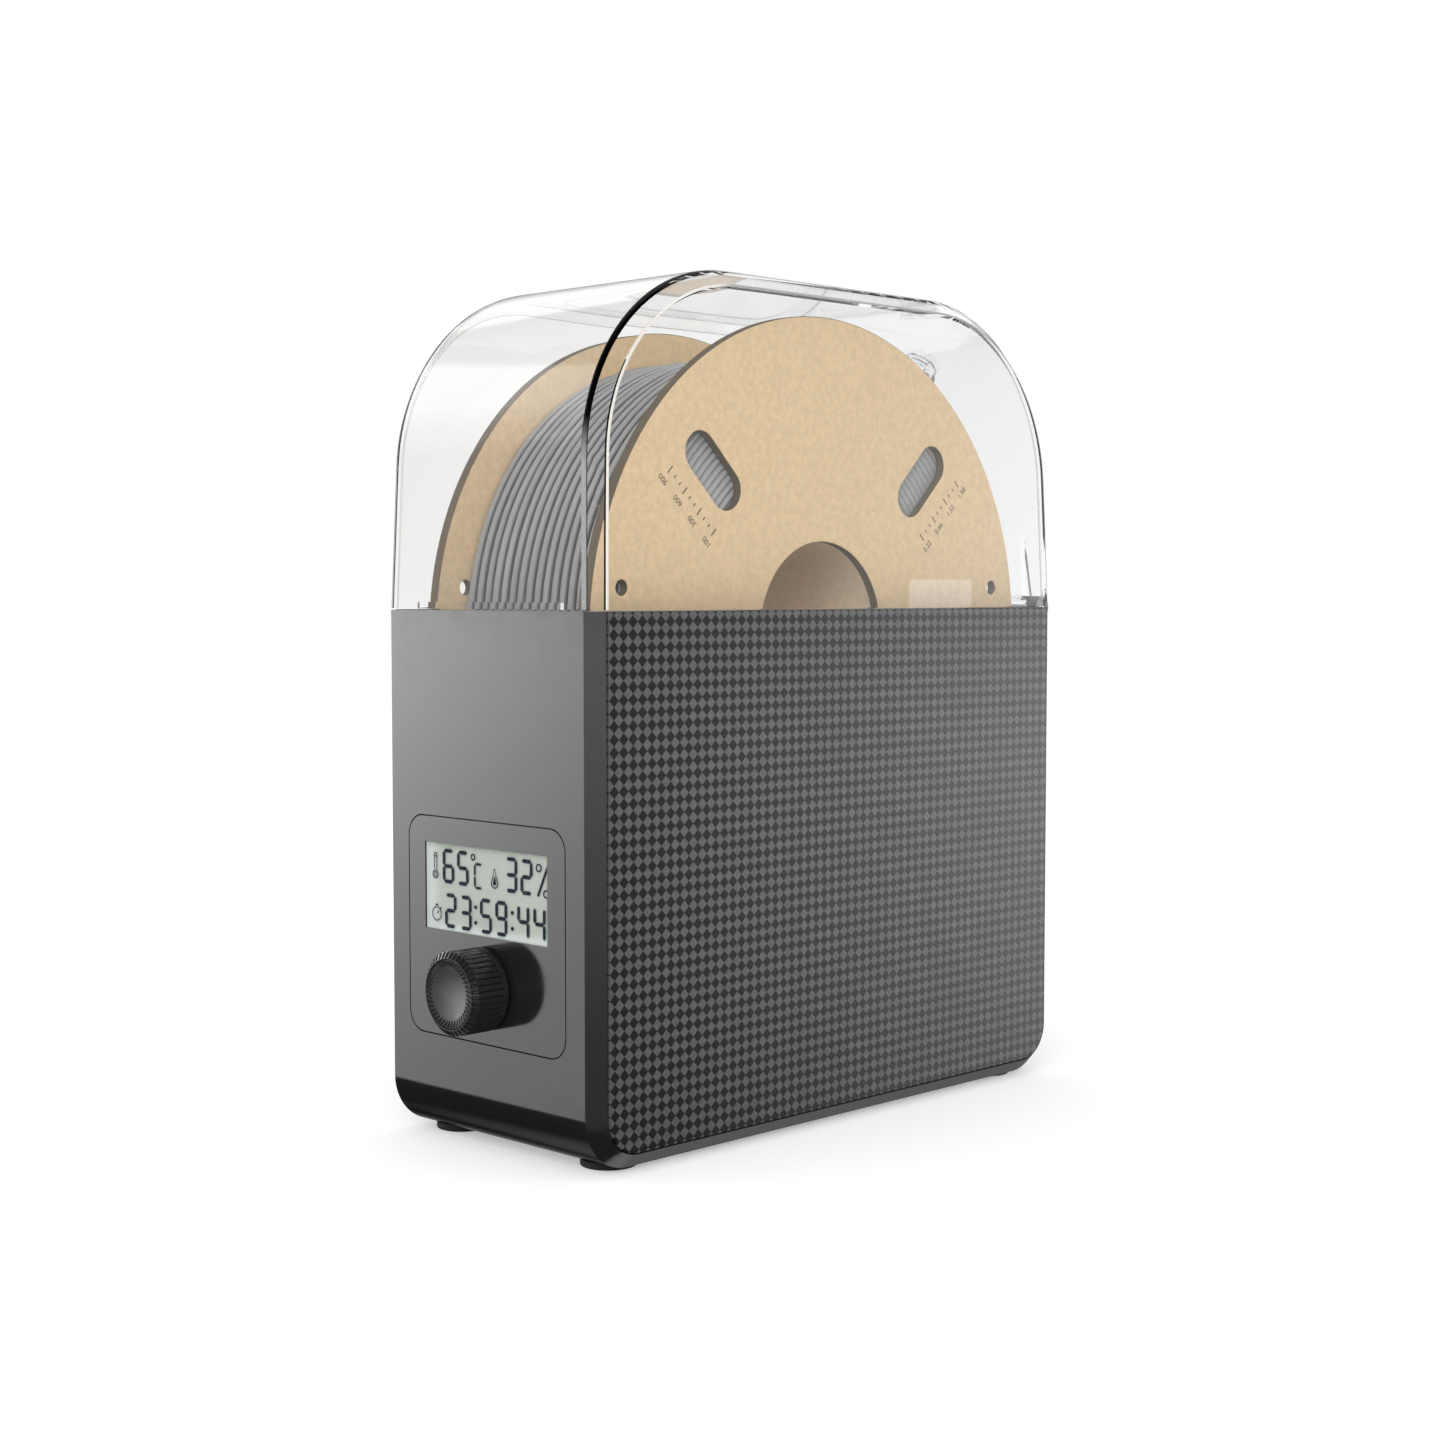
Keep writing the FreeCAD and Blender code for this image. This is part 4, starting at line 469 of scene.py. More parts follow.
class ControlSettings(bpy.types.PropertyGroup):
    """Sizes and colours of the control panel, its display and its knob."""
    edge: length_setting("Panel edge", "Rounding of the control panel's edges", 0.06 * MM)
    ground: colour_setting("Display ground", "Pale ground of the display", (0.5, 0.54, 0.49))
    ground_rim: colour_setting("Display rim", "Lighter edges of the display", (0.8, 0.84, 0.84))
    glass: colour_setting("Lens colour", "Tint of the display's lens", (0.98, 0.985, 0.98))
    # Painted shade: the colour the lens darkens to where it is seen edge on.
    glass_edge_shade: colour_setting("Lens edge", "Tint of the lens where it is seen edge on", (0.7, 0.72, 0.7))
    lens: length_setting("Lens", "Thickness of the display's lens", 0.4 * MM)
    frame: length_setting("Frame", "Pale frame round the display's cell", 0.3 * MM)
    cell_sink: length_setting("Cell sink", "How far the display's cell lies back", 0.5 * MM)
    ink: colour_setting("Segments", "Dark segments of the display", (0.01, 0.016, 0.03))
    digit_width: length_setting("Digit width", "Width of a digit", 5.4 * MM)
    digit_height: length_setting("Digit height", "Height of a digit", 10.6 * MM)
    segment: length_setting("Segment width", "Width of a segment", 1.14 * MM)
    ink_depth: length_setting("Segment depth", "Thickness of the segments", 0.08 * MM)
    icon_line: length_setting("Icon line", "Width of the icons' lines", 0.24 * MM)
    knob: colour_setting("Knob colour", "Fluted side of the knob", (0.02, 0.02, 0.021))
    cap: colour_setting("Cap colour", "Dished cap of the knob", (0.03, 0.03, 0.031))
    flutes: count_setting("Flutes", "Grooves and teeth round the knob", 42)
    flute_depth: length_setting("Flute depth", "Depth of the grooves", 0.4 * MM)
    tooth_depth: length_setting("Tooth depth", "Depth of the teeth on the bevel", 0.55 * MM)


class SpoolSettings(bpy.types.PropertyGroup):
    """Sizes and colours of the spool and its filament."""
    card: colour_setting("Card colour", "Pressed card of the spool", (0.85, 0.635, 0.385))
    fleck: colour_setting("Fleck colour", "Dark flecks in the card", (0.62, 0.43, 0.24))
    # Painted light: the tube is set lighter than the flanges' card, to make up for the shade inside the hub.
    core: colour_setting("Core colour", "Tube of the spool", (0.98, 0.8, 0.58))
    cut_edge: colour_setting("Cut edge", "Cut edges of the card", (0.15, 0.115, 0.075))
    scale_ink: colour_setting("Print colour", "Scale printed beside the slots", (0.09, 0.08, 0.07))
    label: colour_setting("Label colour", "Blank label", (0.99, 0.8, 0.6))
    filament: colour_setting("Filament colour", "Wound filament", (0.34, 0.34, 0.345))
    edge: length_setting("Card edge", "Rounding of the card's edges", 0.25 * MM)
    strand: length_setting("Strand radius", "Radius of a strand of the outer layer", 1.66 * MM)
    turns: count_setting("Turns", "Turns of the outer layer", 16)
    swell: length_setting("Swell", "How far the wound filament stands out past its plain solid", 2.6 * MM)
    layer: length_setting("Layer pitch", "Strand to strand on the sides of the winding", 2.3 * MM)
    # Painted shade: how far below a strand's top its painted groove shade begins.
    groove: length_setting("Groove depth", "How far below its top a strand starts to darken", 0.45 * MM)


class InsideSettings(bpy.types.PropertyGroup):
    """Colours of the pieces inside the base and at its rear."""
    inner: colour_setting("Inner colour", "Chamber floor, cover and cradles", (0.03, 0.03, 0.032))
    dark: colour_setting("Dark colour", "Fan, duct and inlet", (0.022, 0.022, 0.024))
    roller: colour_setting("Roller colour", "Rollers under the spool", (0.62, 0.62, 0.6))
    sensor: colour_setting("Sensor colour", "Humidity sensor", (0.75, 0.75, 0.73))
    board: colour_setting("Board colour", "Circuit boards", (0.015, 0.11, 0.045))
    copper: colour_setting("Pad colour", "Tinned pads of the boards", (0.6, 0.58, 0.5))
    tape: colour_setting("Tape colour", "Transformer tape", (0.5, 0.36, 0.05))
    steel: colour_setting("Steel colour", "Screws, pins and shafts", (0.56, 0.56, 0.57))
    brass: colour_setting("Brass colour", "Pins of the inlet", (0.72, 0.56, 0.28))
    aluminium: colour_setting("Aluminium colour", "Heater core", (0.72, 0.73, 0.74))


class StageSettings(bpy.types.PropertyGroup):
    """Camera, floor and studio light."""
    camera: place_setting("Camera place", "Where the camera stands", (0.52434, -0.53942, 0.1712))
    aim: bpy.props.FloatVectorProperty(name="Camera angles", description="How the camera is turned",
                                       subtype="EULER", unit="ROTATION",
                                       default=(math.radians(86.671), 0.0, math.radians(44.496)))
    lens: bpy.props.FloatProperty(name="Lens", description="Focal length", unit="CAMERA", default=56.6)
    floor: length_setting("Floor radius", "Radius of the floor", 6.0)
    floor_lift: factor_setting("Floor lift", "Share of white that the camera sees added to the floor", 0.4)
    floor_pale: colour_setting("Floor colour", "Pale floor", (0.82, 0.82, 0.82))
    dome: factor_setting("Dome light", "Brightness of the plain white dome", 0.78, 4.0)
    lamp: place_setting("Lamp place", "Where the soft lamp hangs", (0.85, -1.05, 0.75))
    lamp_size: length_setting("Lamp size", "Width of the soft lamp", 0.8)
    lamp_power: bpy.props.FloatProperty(name="Lamp power", description="Power of the soft lamp", unit="POWER",
                                        default=8.0)
    softbox: factor_setting("Softbox", "Brightness of the front left softbox in reflections", 3.6, 20.0)


# Operators

class DRYER_OT_case(bpy.types.Operator):
    """Builds the base's shell, tray, side panels and feet"""
    bl_idname = "dryer.case"
    bl_label = "Build Case"

    def execute(self, context):
        settings = context.scene.dryer_case
        plastic = case_plastic("case_plastic", settings)
        self.shell("base_case", "base_shell", "case_grey", plastic, settings.edge)
        self.shell("base_tray", "bottom_tray", "tray_black", plastic, settings.edge)
        weave = diamond_weave("side_weave", settings)
        for side_name, side in SIDES:
            self.side_panel(side_name, side, settings, weave)
        rubber = moulded("foot_rubber", settings.rubber, 0.7, grain=2500.0, depth=0.03 * MM)
        dress(rubber, *(f"foot_{end}_{side}" for end in ("front", "rear") for side, _ in SIDES))
        return {"FINISHED"}

    def shell(self, name, node, slot, plastic, edge):
        """A copy of a shell with its outer edges rounded."""
        bm = cad_copy(node)
        panel_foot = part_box("side_panel_right")[0].z
        outer = sharp_edges(bm, test=lambda point: self.outside(point, panel_foot))
        round_edges(bm, outer, edge, 2)
        finish_piece(name, bm, "base", [plastic], [node])

    def outside(self, point, panel_foot):
        """Whether a point is on the outside of the base, or below the side panels."""
        at_end = abs(point.y - SPOOL_CENTRE.y) > SPOOL_CENTRE.y - FRONT_Y - 0.2 * MM
        at_side = abs(point.x) > HALF_WIDTH - 6 * MM
        return at_end or at_side or point.z < panel_foot

    def side_panel(self, side_name, side, settings, weave):
        """A thin plate with round lower corners and softened edges."""
        node = f"side_panel_{side_name}"
        low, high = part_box(node)
        bm = bmesh.new()
        block(bm, low, high)
        corners = [edge for edge in bm.edges if all(vert.co.z < low.z + MM for vert in edge.verts)
                   and abs((edge.verts[0].co - edge.verts[1].co).x) > MM]
        round_edges(bm, corners, settings.panel_corner, 16)
        face_x = high.x if side > 0 else low.x
        rim = sharp_edges(bm, test=lambda point: abs(point.x - face_x) < 0.1 * MM)
        round_edges(bm, rim, settings.edge, 2)
        finish_piece(f"weave_panel_{side_name}", bm, "base", [weave], [node])


class DRYER_OT_lid(bpy.types.Operator):
    """Builds the clear lid and its outlet fitting"""
    bl_idname = "dryer.lid"
    bl_label = "Build Lid"

    def execute(self, context):
        settings = context.scene.dryer_lid
        clear = clear_plastic("lid_clear", settings.clear, settings.painted_edge_shade, settings.index,
                              settings.edge_start)
        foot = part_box("side_panel_right")[1].z
        # Painted edge lines: a black line round the front bend and a pale highlight line at the front of the
        # sides.
        rim = painted_lid_edge("lid_rim", settings.bend, foot + settings.bend_foot, settings)
        cheek = painted_lid_edge("lid_cheek", settings.cheek, foot - settings.fade, settings)
        bm = cad_copy("lid_shell")
        triangles = [face for face in bm.faces if len(face.verts) == 3 and self.slanting(face)]
        bmesh.ops.join_triangles(bm, faces=triangles, angle_face_threshold=math.radians(15),
                                 angle_shape_threshold=math.radians(140))
        # The rounded edges take the painted edge lines: the bend's rim first, then the sides' cheeks.
        for face in round_edges(bm, self.corner_edges(bm, 0.0, 0.25, foot), settings.rim, 3, clamped=False):
            face.material_index = 1
        for face in round_edges(bm, self.corner_edges(bm, 0.95, 1.0, foot), settings.edge, 2, clamped=False):
            face.material_index = 2
        finish_piece("clear_lid", bm, "lid", [clear, rim, cheek], ["lid_shell"],
                     normals=self.bend_normals)
        # Painted shade: the fitting darkens to a fifth less where it is seen edge on.
        fitting = clear_plastic("fitting_clear", settings.fitting, shade(settings.fitting, 0.8), index=1.15,
                                edge_start=0.9, roughness=0.08)
        dress(fitting, "outlet_fitting")
        dress(moulded("seal_silicone", settings.seal, 0.6, grain=3000.0, depth=0.02 * MM), "lid_seal")
        return {"FINISHED"}

    def bend_normals(self, mesh):
        """Normals for the corners of every face: true to the round bends, and square to the other faces."""
        radius = bpy.context.scene.dryer_lid.bend_radius
        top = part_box("lid_shell")[1].z
        flat = [vert.co.y for vert in mesh.vertices if vert.co.z > top - 0.01 * MM]
        flat_front, flat_rear = min(flat), max(flat)
        normals = []
        for face in mesh.polygons:
            levels = [level for level in (0.0, math.sqrt(0.5)) if abs(abs(face.normal.x) - level) < 0.06]
            side = math.copysign(levels[0], face.normal.x) if levels else face.normal.x
            for index in face.vertices:
                point = mesh.vertices[index].co
                past = point.y - min(max(point.y, flat_front), flat_rear)
                away = Vector((0.0, past, point.z - top + radius))
                bent = away.z > 0 and abs(side) < 0.9
                facing = away.normalized().dot(face.normal) / math.sqrt(1 - side ** 2) if bent else 0.0
                if abs(facing) > 0.98:
                    across = away.normalized() * math.copysign(math.sqrt(1 - side ** 2), facing)
                    normals.append(across + ACROSS * side)
                else:
                    normals.append(face.normal)
        return normals

    def slanting(self, face):
        """Whether a face is one of the narrow slanting faces between the lid's top and its sides."""
        return 0.4 < abs(face.normal.x) < 0.9

    def corner_edges(self, bm, least, most, foot):
        """Outer edges between a slanting face and one that is turned sideways by a share within limits."""
        found = []
        for edge in bm.edges:
            faces = edge.link_faces
            outside = all(face.normal.dot(face.calc_center_median() - SPOOL_CENTRE) > 0 for face in faces)
            above = max(vert.co.z for vert in edge.verts) > foot + MM
            slanted = any(self.slanting(face) for face in faces)
            turned_in = any(least <= abs(face.normal.x) <= most for face in faces)
            if len(faces) == 2 and outside and above and slanted and turned_in:
                found.append(edge)
        return found


class DRYER_OT_control_panel(bpy.types.Operator):
    """Builds the control panel and its display"""
    bl_idname = "dryer.control_panel"
    bl_label = "Build Control Panel"

    def execute(self, context):
        settings = context.scene.dryer_control
        plastic = case_plastic("panel_plastic", context.scene.dryer_case)
        bm = cad_copy("control_panel")
        face = sharp_edges(bm, test=lambda point: point.y < FRONT_Y + 0.1 * MM)
        round_edges(bm, face, settings.edge, 2)
        finish_piece("front_panel", bm, "base", [plastic], ["control_panel"])
        self.display(settings)
        ink = moulded("display_ink", settings.ink, 0.5, specular_ior_level=0.1)
        self.digits(settings, ink)
        self.icons(settings, ink)
        return {"FINISHED"}

    def display(self, settings):
        """A thin lens over a pale cell that lies back from it, so that the segments shade the cell."""
        low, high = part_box("lcd_lens")
        bm = bmesh.new()
        block(bm, low, (high.x, low.y + settings.lens, high.z))
        # The lens is painted darker where it is seen edge on.
        clear = clear_plastic("display_lens", settings.glass, settings.glass_edge_shade, index=1.08,
                              edge_start=0.95)
        finish_piece("display_lens", bm, "base", [clear], ["lcd_lens"])
        bm = cad_copy("lcd_module")
        front = [vert for vert in bm.verts if vert.co.y < high.y + 0.1 * MM]
        bmesh.ops.translate(bm, verts=front, vec=BACKWARD * settings.cell_sink)
        ground = display_ground("display_ground", settings.ground, settings.ground_rim)
        finish_piece("display_cell", bm, "base", [ground], ["lcd_module"])
        bm = bmesh.new()
        block(bm, (low.x, low.y + settings.lens, low.z), (high.x, high.y + settings.cell_sink, high.z))
        ends = [face for face in bm.faces if abs(face.normal.y) > 0.5]
        bmesh.ops.inset_individual(bm, faces=ends, thickness=settings.frame)
        reach = high.x - 0.1 * settings.frame
        inner = [face for face in bm.faces if abs(face.normal.y) > 0.5
                 and all(abs(vert.co.x) < reach for vert in face.verts)]
        bmesh.ops.bridge_loops(bm, edges=[edge for face in inner for edge in face.edges])
        bmesh.ops.delete(bm, geom=inner, context="FACES_ONLY")
        bmesh.ops.recalc_face_normals(bm, faces=bm.faces)
        finish_piece("display_frame", bm, "base", [ground])

    def spot(self, across, down):
        """A point ahead of the display's cell, at fractions of the window from its left and from its top."""
        low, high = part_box("lcd_lens")
        size = high - low
        return Vector((low.x + across * size.x, high.y + 0.1 * MM, high.z - down * size.z))

    def thicken(self, bm, faces, depth):
        """Gives flat faces their thickness, away from the lens."""
        grown = bmesh.ops.extrude_face_region(bm, geom=faces)["geom"]
        moved = [item for item in grown if isinstance(item, bmesh.types.BMVert)]
        bmesh.ops.translate(bm, verts=moved, vec=BACKWARD * depth)

    def plate(self, bm, points, depth):
        """A flat plate on an outline."""
        self.thicken(bm, [bm.faces.new([bm.verts.new(point) for point in points])], depth)

    def bar(self, bm, start, end, width, depth):
        """A bar with pointed ends."""
        way = (end - start).normalized()
        side = Vector((-way.z, 0.0, way.x)) * width / 2
        tip = way * width / 2
        upper = (start + tip + side, end - tip + side)
        lower = (end - tip - side, start + tip - side)
        self.plate(bm, (start, *upper, end, *lower), depth)

    def strokes(self, bm, corner, runs, width, depth):
        """Bars from point to point, in millimetres across and up from a corner."""
        for x0, z0, x1, z1 in runs:
            start, end = Vector((x0, 0.0, z0)) * MM, Vector((x1, 0.0, z1)) * MM
            self.bar(bm, corner + start, corner + end, width, depth)

    def hoop(self, bm, outline, width, depth):
        """A closed line of some width on an outline of points."""
        middle = sum(outline, Vector()) / len(outline)
        loops = []
        for grow in (-width / 2, width / 2):
            verts = [bm.verts.new(point + (point - middle).normalized() * grow) for point in outline]
            loops.append([bm.edges.new(pair) for pair in zip(verts, verts[1:] + verts[:1])])
        made = bmesh.ops.bridge_loops(bm, edges=loops[0] + loops[1])["faces"]
        self.thicken(bm, made, depth)

    def round_outline(self, centre, radius, count=20):
        """Points round a circle."""
        return [centre + Vector((math.cos(TURN * step / count), 0.0, math.sin(TURN * step / count))) * radius
                for step in range(count)]

    def drop_outline(self, centre, radius, count=20):
        """Points round a drop, drawn out to a tip at its top."""
        points = []
        for point in self.round_outline(centre, radius, count):
            lift = max(point.z - centre.z, 0.0) / radius
            points.append(Vector((centre.x + (point.x - centre.x) * (1 - 0.55 * lift), point.y,
                                  point.z + 1.7 * radius * lift ** 2.2)))
        return points

    def digit(self, bm, text, corner, settings):
        """One seven-segment digit from its upper left corner."""
        lit = {"2": "abged", "3": "abgcd", "4": "fgbc", "5": "afgcd", "6": "afgedc", "9": "abcdfg"}[text]
        width, height, line = settings.digit_width, settings.digit_height, settings.segment
        left, right, gap = line / 2, width - line / 2, 0.12 * line
        top, middle, bottom = -line / 2, -height / 2, -height + line / 2
        runs = {"a": (left, top, right, top), "b": (right, top, right, middle),
                "c": (right, middle, right, bottom), "d": (left, bottom, right, bottom),
                "e": (left, middle, left, bottom), "f": (left, top, left, middle),
                "g": (left, middle, right, middle)}
        for name in lit:
            x0, z0, x1, z1 = runs[name]
            start, end = corner + Vector((x0, 0.0, z0)), corner + Vector((x1, 0.0, z1))
            ease = (end - start).normalized() * gap
            self.bar(bm, start + ease, end - ease, line, settings.ink_depth)

    def digits(self, settings, ink):
        """Temperature and humidity over the time left."""
        bm = bmesh.new()
        places = (("6", 0.123, 0.068), ("5", 0.245, 0.07), ("3", 0.643, 0.072), ("2", 0.765, 0.074),
                  ("2", 0.14, 0.577), ("3", 0.268, 0.577), ("5", 0.435, 0.577), ("9", 0.561, 0.577),
                  ("4", 0.738, 0.577), ("4", 0.866, 0.577))
        for text, across, down in places:
            self.digit(bm, text, self.spot(across, down), settings)
        for across in (0.397, 0.698):
            for down in (0.69, 0.868):
                self.plate(bm, self.round_outline(self.spot(across, down), 0.62 * MM, 12), settings.ink_depth)
        bmesh.ops.recalc_face_normals(bm, faces=bm.faces)
        finish_piece("display_digits", bm, "base", [ink])

    def icons(self, settings, ink):
        """Thermometer, drop, stopwatch, and the signs for degrees and per cent."""
        bm = bmesh.new()
        self.thermometer(bm, self.spot(0.06, 0.375), settings)
        self.drop(bm, self.spot(0.555, 0.385), settings)
        self.stopwatch(bm, self.spot(0.069, 0.83), settings)
        self.degrees(bm, settings.ink_depth)
        self.per_cent(bm, settings.ink_depth)
        bmesh.ops.recalc_face_normals(bm, faces=bm.faces)
        finish_piece("display_icons", bm, "base", [ink])

    def thermometer(self, bm, bulb, settings):
        """A double bulb under a tube with a round top."""
        line, depth = settings.icon_line, settings.ink_depth
        for radius in (0.72 * MM, 1.3 * MM):
            self.hoop(bm, self.round_outline(bulb, radius), line, depth)
        self.strokes(bm, bulb, ((-0.62, 1.6, -0.62, 6.0), (0.62, 1.6, 0.62, 6.0)), line, depth)
        self.hoop(bm, self.round_outline(bulb + UP * 6.1 * MM, 0.62 * MM, 12), line, depth)

    def drop(self, bm, centre, settings):
        """A drop drawn round a smaller full one."""
        self.hoop(bm, self.drop_outline(centre, 1.55 * MM), settings.icon_line * 1.3, settings.ink_depth)
        self.plate(bm, self.drop_outline(centre, 0.75 * MM), settings.ink_depth)

    def stopwatch(self, bm, centre, settings):
        """A dial with one hand, a winder and a button."""
        line, depth = settings.icon_line, settings.ink_depth
        self.hoop(bm, self.round_outline(centre, 2.1 * MM, 28), line, depth)
        self.strokes(bm, centre, ((0.0, 0.0, 1.0, 0.9),), line, depth)
        self.strokes(bm, centre, ((-0.7, 2.75, 0.7, 2.75), (1.5, 2.0, 2.1, 1.5)), 0.5 * MM, depth)

    def degrees(self, bm, depth):
        """A ring before a letter made of segments."""
        self.hoop(bm, self.round_outline(self.spot(0.378, 0.125), 0.85 * MM), 0.4 * MM, depth)
        letter = ((3.4, 0.0, 0.5, 0.0), (0.3, -0.2, 0.3, -3.5), (0.3, -3.7, 0.3, -7.0),
                  (0.5, -7.2, 3.4, -7.2))
        self.strokes(bm, self.spot(0.387, 0.2), letter, 0.75 * MM, depth)

    def per_cent(self, bm, depth):
        """Two rings and a slanting bar."""
        for place in ((0.909, 0.152), (0.966, 0.43)):
            self.hoop(bm, self.round_outline(self.spot(*place), 1.05 * MM), 0.42 * MM, depth)
        self.bar(bm, self.spot(0.982, 0.115), self.spot(0.9, 0.47), 0.8 * MM, depth)


class DRYER_OT_knob(bpy.types.Operator):
    """Builds the fluted knob and its dished cap"""
    bl_idname = "dryer.knob"
    bl_label = "Build Knob"

    def execute(self, context):
        settings = context.scene.dryer_control
        steps = settings.flutes * FLUTE_STEPS
        self.body(settings, steps)
        self.cap(settings, steps)
        return {"FINISHED"}

    def around(self, point, steps):
        """Which step round the knob a point is on."""
        away = point - KNOB_CENTRE
        return round(math.atan2(away.z, away.x) / TURN * steps)

    def body(self, settings, steps):
        """The side, with grooves that stop short of its back, and a serrated bevel."""
        low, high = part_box("knob")
        radius = (high.x - low.x) / 2
        seat_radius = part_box("knob_cap")[1].x + 0.1 * MM
        front, back = low.y, high.y
        bore, seat, ease = 3.05 * MM, 2.0 * MM, 0.25 * MM
        bevel, stop = 1.6 * MM, 1.7 * MM
        side = [(radius - 2 * ease, back), (radius, back - 2 * ease), (radius, back - stop),
                (radius, back - stop - ease), (radius, front + bevel + 2 * ease), (radius, front + bevel)]
        slope = [(radius - ease, front + bevel - 0.35 * MM), (radius - bevel, front + ease),
                 (radius - bevel - ease, front)]
        hollow = [(seat_radius + 0.2 * MM, front), (seat_radius, front + ease), (seat_radius, front + seat),
                  (bore, front + seat), (bore, back)]
        profile = [(bore, back), *side, *slope, *hollow]
        bm = bmesh.new()
        turned(bm, profile, KNOB_CENTRE, BACKWARD, ACROSS, steps)
        for vert in bm.verts:
            away = (vert.co - KNOB_CENTRE) * Vector((1.0, 0.0, 1.0))
            step = self.around(vert.co, steps) % FLUTE_STEPS
            on_side = away.length > radius - 0.05 * MM
            if on_side and step == 0 and front + bevel + 0.4 * MM < vert.co.y < back - stop - 0.1 * MM:
                vert.co -= away.normalized() * settings.flute_depth
            on_bevel = vert.co.y < front + bevel - 0.2 * MM and away.length > radius - bevel - 0.1 * MM
            if on_bevel and step < FLUTE_STEPS / 2:
                vert.co += settings.tooth_depth * (BACKWARD - 0.6 * away.normalized())
        gloss = moulded("knob_plastic", settings.knob, 0.22, depth=0.003 * MM, specular_ior_level=0.7)
        finish_piece("fluted_knob", bm, "knob", [gloss], ["knob"], sharp=math.radians(20))

    def cap(self, settings, steps):
        """The cap: a serrated ring round a smooth hollow."""
        low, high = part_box("knob_cap")
        radius, front, back = high.x, low.y, high.y
        dish, hollow, rings = 7.9 * MM, 0.66 * MM, 10
        lip = front + 0.42 * MM
        ring_edge, ring_step, ring_fall = radius - 0.4 * MM, 0.45 * MM, 0.08 * MM
        profile = [(0.0, back), (radius, back), (radius, front + 0.3 * MM),
                   (radius - 0.25 * MM, front + 0.05 * MM)]
        profile += [(ring_edge - step * ring_step, front + (step + 1) * ring_fall) for step in range(4)]
        parts = [1 - ring / rings for ring in range(rings + 1)]
        profile += [(dish * part, lip + hollow * (1 - part ** 2)) for part in parts]
        bm = bmesh.new()
        turned(bm, profile, KNOB_CENTRE, BACKWARD, ACROSS, steps)
        for vert in bm.verts:
            away = ((vert.co - KNOB_CENTRE) * Vector((1.0, 0.0, 1.0))).length
            on_ring = dish + 0.1 * MM < away < radius - 0.3 * MM and vert.co.y < front + MM
            lean = round((ring_edge - away) / ring_step)
            if on_ring and (self.around(vert.co, steps) - lean) % FLUTE_STEPS < FLUTE_STEPS / 2:
                vert.co.y += settings.tooth_depth
        satin = moulded("cap_satin", settings.cap, 0.3, depth=0.002 * MM, specular_ior_level=0.8)
        finish_piece("dished_cap", bm, "knob", [satin], ["knob_cap"], sharp=math.radians(20))


